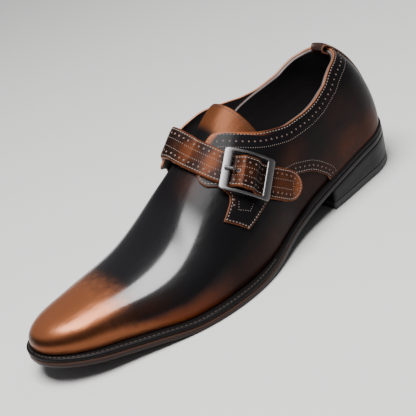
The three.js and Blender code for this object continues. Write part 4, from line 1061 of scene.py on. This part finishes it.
def sewQuarters(outer, inner):
    face = lambda s, w, off=0.0: onLast(s, w, quarterTop + off)
    innerFace = lambda s, w, off=0.0: onQuarter(s, w, quarterTop + off)
    sewn = ([], [], [])

    def rowsAt(line, kept, side, place, insets):
        part = tuple(v[kept] for v in line)
        for rows, inset, spacing in zip(sewn, quarterSewing[insets], quarterSewing["pitches"]):
            if inset:
                rows.append(rowOf(place, *insetLine(part, inset, side, place), 0.0, spacing))
    row, lowRow, whole = outer["row"], outer["lowRow"], slice(None)
    rowsAt(outer["topLine"], row <= collarEnd, 1, face, "collar")
    rowsAt(outer["topLine"], row >= collarEnd, 1, face, "front")
    rowsAt(outer["topLine"], (row >= lobeStart) & (row <= lobeEnd), 1, face, "lobe")
    rowsAt(outer["lowLine"], lowRow <= arcEnd, -1, face, "arc")
    rowsAt(outer["lowLine"], lowRow >= arcEnd, -1, face, "edge")
    rowsAt(outer["endLine"], whole, -1, face, "edge")
    rowsAt(inner["topLine"], whole, -1, innerFace, "collar")
    rowsAt(inner["lowLine"], whole, 1, innerFace, "arc")
    seam, punch, fine = sewn
    fine.append(rowOf(face, *np.array(tabRow).T, 0.0, quarterSewing["tabPinholePitch"]))
    punch.append(rowOf(face, *np.array(tabPunches).T, 0.0, quarterSewing["tabPunchPitch"]))
    stampPiece("quarterStitches", stitchShape(*quarterSewing["stitch"]), seam, [thread])
    stampPiece("quarterPunches", holeShape(quarterSewing["punch"]), punch,
               [punchPit, punchRim])
    stampPiece("quarterPinholes", pinhole, fine, [pinholeRim])


def sewStrap():
    tipCentre = strapEnd - strapTipRound
    body = np.linspace(strapStart + 1, tipCentre, 400)
    turnTip = np.linspace(-np.pi / 2, np.pi / 2, 80)

    def loopRow(inset, pitch):
        v, long = strapWidth / 2 - inset, strapTipRound - inset
        u = np.concatenate([body, tipCentre + long * np.cos(turnTip), body[::-1]])
        across = np.concatenate([-v + 0 * body, v * np.sin(turnTip), v + 0 * body])
        return rowOf(onStrapTop, u, across, 0.0, pitch)

    def oneHole(at):
        row = rowOf(onStrapTop, np.array([at - 0.5, at + 0.5]), np.zeros(2), 0.0, 1.0)
        return tuple(v[:1] for v in row)
    stampPiece("strapStitches", stitchShape(*strapSewing["stitch"]),
               [loopRow(strapSewing["edgeInset"], strapSewing["pitch"])], [thread])
    stampPiece("strapPunches", holeShape(strapSewing["punch"]),
               [loopRow(strapSewing["punchInset"], punchPitch)], [punchPit, punchRim])
    lane, square = strapSewing["lane"], tipCentre + strapSewing["laneEnd"]
    there = np.linspace(strapStart + 1, square, 300)
    u = np.concatenate([there, np.full(20, square), there[::-1]])
    v = np.concatenate([np.full(300, -lane), np.linspace(-lane, lane, 20), np.full(300, lane)])
    stampPiece("strapPinholes", pinhole, [rowOf(onStrapTop, u, v, 0.0, pinholePitch)],
               [pinholeRim])
    stampPiece("strapHoles", holeShape(strapSewing["hole"]),
               [oneHole(at) for at in strapSewing["holes"]], [punchPit, holeEdge])
    stampPiece("prongEntry", holeShape(strapSewing["entry"]), [oneHole(holeAt)],
               [punchPit, holeEdge])


def sewTongueWeltAndStrip(perTurn, collar):
    k = np.linspace(0.03, 0.97, 120)
    edge = len(tongueSides["inner"]) - 1 - tongueSewing["inset"] / tongueLook["reachUp"]
    stampPiece("tongueStitches", stitchShape(*tongueSewing["stitch"]),
               [rowOf(onTongue, edge + 0 * k, k, 0.0, tongueSewing["pitch"])], [blackThread])

    def onWelt(turn, inset, off):
        plan = insetOutline(turn, inset)
        return withHeight(plan, weltTop(-plan[..., 1]) + off)
    turn = np.linspace(turnOf(weltSewing["from"]), 1.0, 500)
    rows = [rowOf(onWelt, side * turn, 0 * turn + weltSewing["inset"], 0.0, weltSewing["pitch"])
            for side in (1, -1)]
    stampPiece("weltStitches", stitchShape(*weltSewing["stitch"]), rows, [darkThread])

    rise = np.linspace(0.02, collar - 0.01, 120)
    width = backStripWidth + (backTabWidth - backStripWidth) * (rise / collar) ** 2
    half = width / 2 - stripSewing["inset"]
    onStrip = lambda t, r, off: offLast(t, r, quarterTop + gap + backStripThickness + off)
    rows = [rowOf(onStrip, side * half / perTurn, rise, 0.0, stripSewing["pitch"]) for side in (-1, 1)]
    stampPiece("backStitches", stitchShape(*stripSewing["stitch"]), rows, [darkThread])


def buildCadLooks():
    for node, material in (("insole", insoleLeather), ("chape", quarterLeather)):
        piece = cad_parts[node]
        piece.data.materials.clear()
        piece.data.materials.append(material)


buildUpper()
outer = buildQuarter("quarterOuter", "outer_quarter", outerQuarter, 1)
inner = buildQuarter("quarterInner", "inner_quarter", innerQuarter, -1)
print("stage: upper and quarters")
buildTongue()
buildStrap()
buildBuckle()
buildProng()
print("stage: tongue, strap and buckle")
buildOutsole()
buildWelt()
buildHeel()
strip = buildBackStrip()
print("stage: sole, heel and back strip")
sewQuarters(outer, inner)
sewStrap()
sewTongueWeltAndStrip(*strip)
buildCadLooks()
print("stage: sewing")


# Stage, light and camera
floorLook = {"half": 6.0, "colour": (0.5, 0.49, 0.48), "roughness": 0.75}
worldLook = {"colour": (0.62, 0.64, 0.68), "strength": 0.3}
# Azimuth 0 is in front of the toe and 90 is on the outer side; distances here are in metres.
softboxes = {
    "topSoftbox": {"azimuth": 0, "elevation": 90, "distance": 1.27, "size": (0.85, 0.7), "power": 60,
                   "target": (0.18, -0.24, 0.06)},
    "backSoftbox": {"azimuth": 185, "elevation": 40, "distance": 1.6, "size": (0.7, 0.7), "power": 3,
                    "target": (0.03, -0.05, 0.06)},
}
# The photo's view, in millimetres; focal is counted in sensor widths
photoView = {
    "azimuth": 57.8, "elevation": 27.2, "roll": -18.6, "distance": 732.0, "target": (0.0, -150.0, 45.0),
    "focal": 2.63, "shift": (-7.9, -10.1), "pixels": 416,
}


def buildStage():
    half = floorLook["half"]
    mesh = bpy.data.meshes.new("studioFloor")
    corners = [(x * half, y * half, 0) for x, y in ((-1, -1), (1, -1), (1, 1), (-1, 1))]
    mesh.from_pydata(corners, [], [(0, 1, 2, 3)])
    mesh.materials.append(plainMaterial("floorPaper", floorLook["colour"], floorLook["roughness"]))
    floor = bpy.data.objects.new("studioFloor", mesh)
    bpy.context.scene.collection.objects.link(floor)
    world = bpy.data.worlds.new("studioWorld")
    world.use_nodes = True
    background = world.node_tree.nodes["Background"]
    background.inputs["Color"].default_value = (*worldLook["colour"], 1)
    background.inputs["Strength"].default_value = worldLook["strength"]
    bpy.context.scene.world = world


def direction(azimuth, elevation):
    a, e = math.radians(azimuth), math.radians(elevation)
    return np.array([math.sin(a) * math.cos(e), -math.cos(a) * math.cos(e), math.sin(e)])


def addSoftbox(name, box):
    light = bpy.data.lights.new(name, "AREA")
    light.shape, light.energy = "RECTANGLE", box["power"]
    light.size, light.size_y = box["size"]
    lamp = bpy.data.objects.new(name, light)
    away = direction(box["azimuth"], box["elevation"])
    lamp.location = Vector(np.array(box["target"]) + away * box["distance"])
    lamp.rotation_euler = Vector(away).to_track_quat("Z", "Y").to_euler()
    bpy.context.scene.collection.objects.link(lamp)


def buildCamera():
    turn, roll = math.radians(photoView["azimuth"]), math.radians(photoView["roll"])
    back = direction(photoView["azimuth"], photoView["elevation"])
    right = np.array([math.cos(turn), math.sin(turn), 0.0])
    up = np.cross(back, right)
    right, up = right * math.cos(roll) + up * math.sin(roll), -right * math.sin(roll) + up * math.cos(roll)
    place = (np.array(photoView["target"]) + back * photoView["distance"] + originShift) / metre
    data = bpy.data.cameras.new("photoCamera")
    data.sensor_width = 36.0
    data.lens = photoView["focal"] * data.sensor_width
    data.shift_x, data.shift_y = (shift / photoView["pixels"] for shift in photoView["shift"])
    camera = bpy.data.objects.new("photoCamera", data)
    camera.matrix_world = Matrix((*np.column_stack([right, up, back, place]).tolist(), (0, 0, 0, 1)))
    bpy.context.scene.collection.objects.link(camera)
    bpy.context.scene.camera = camera


buildStage()
for name, box in softboxes.items():
    addSoftbox(name, box)
buildCamera()
print("stage: light and camera")
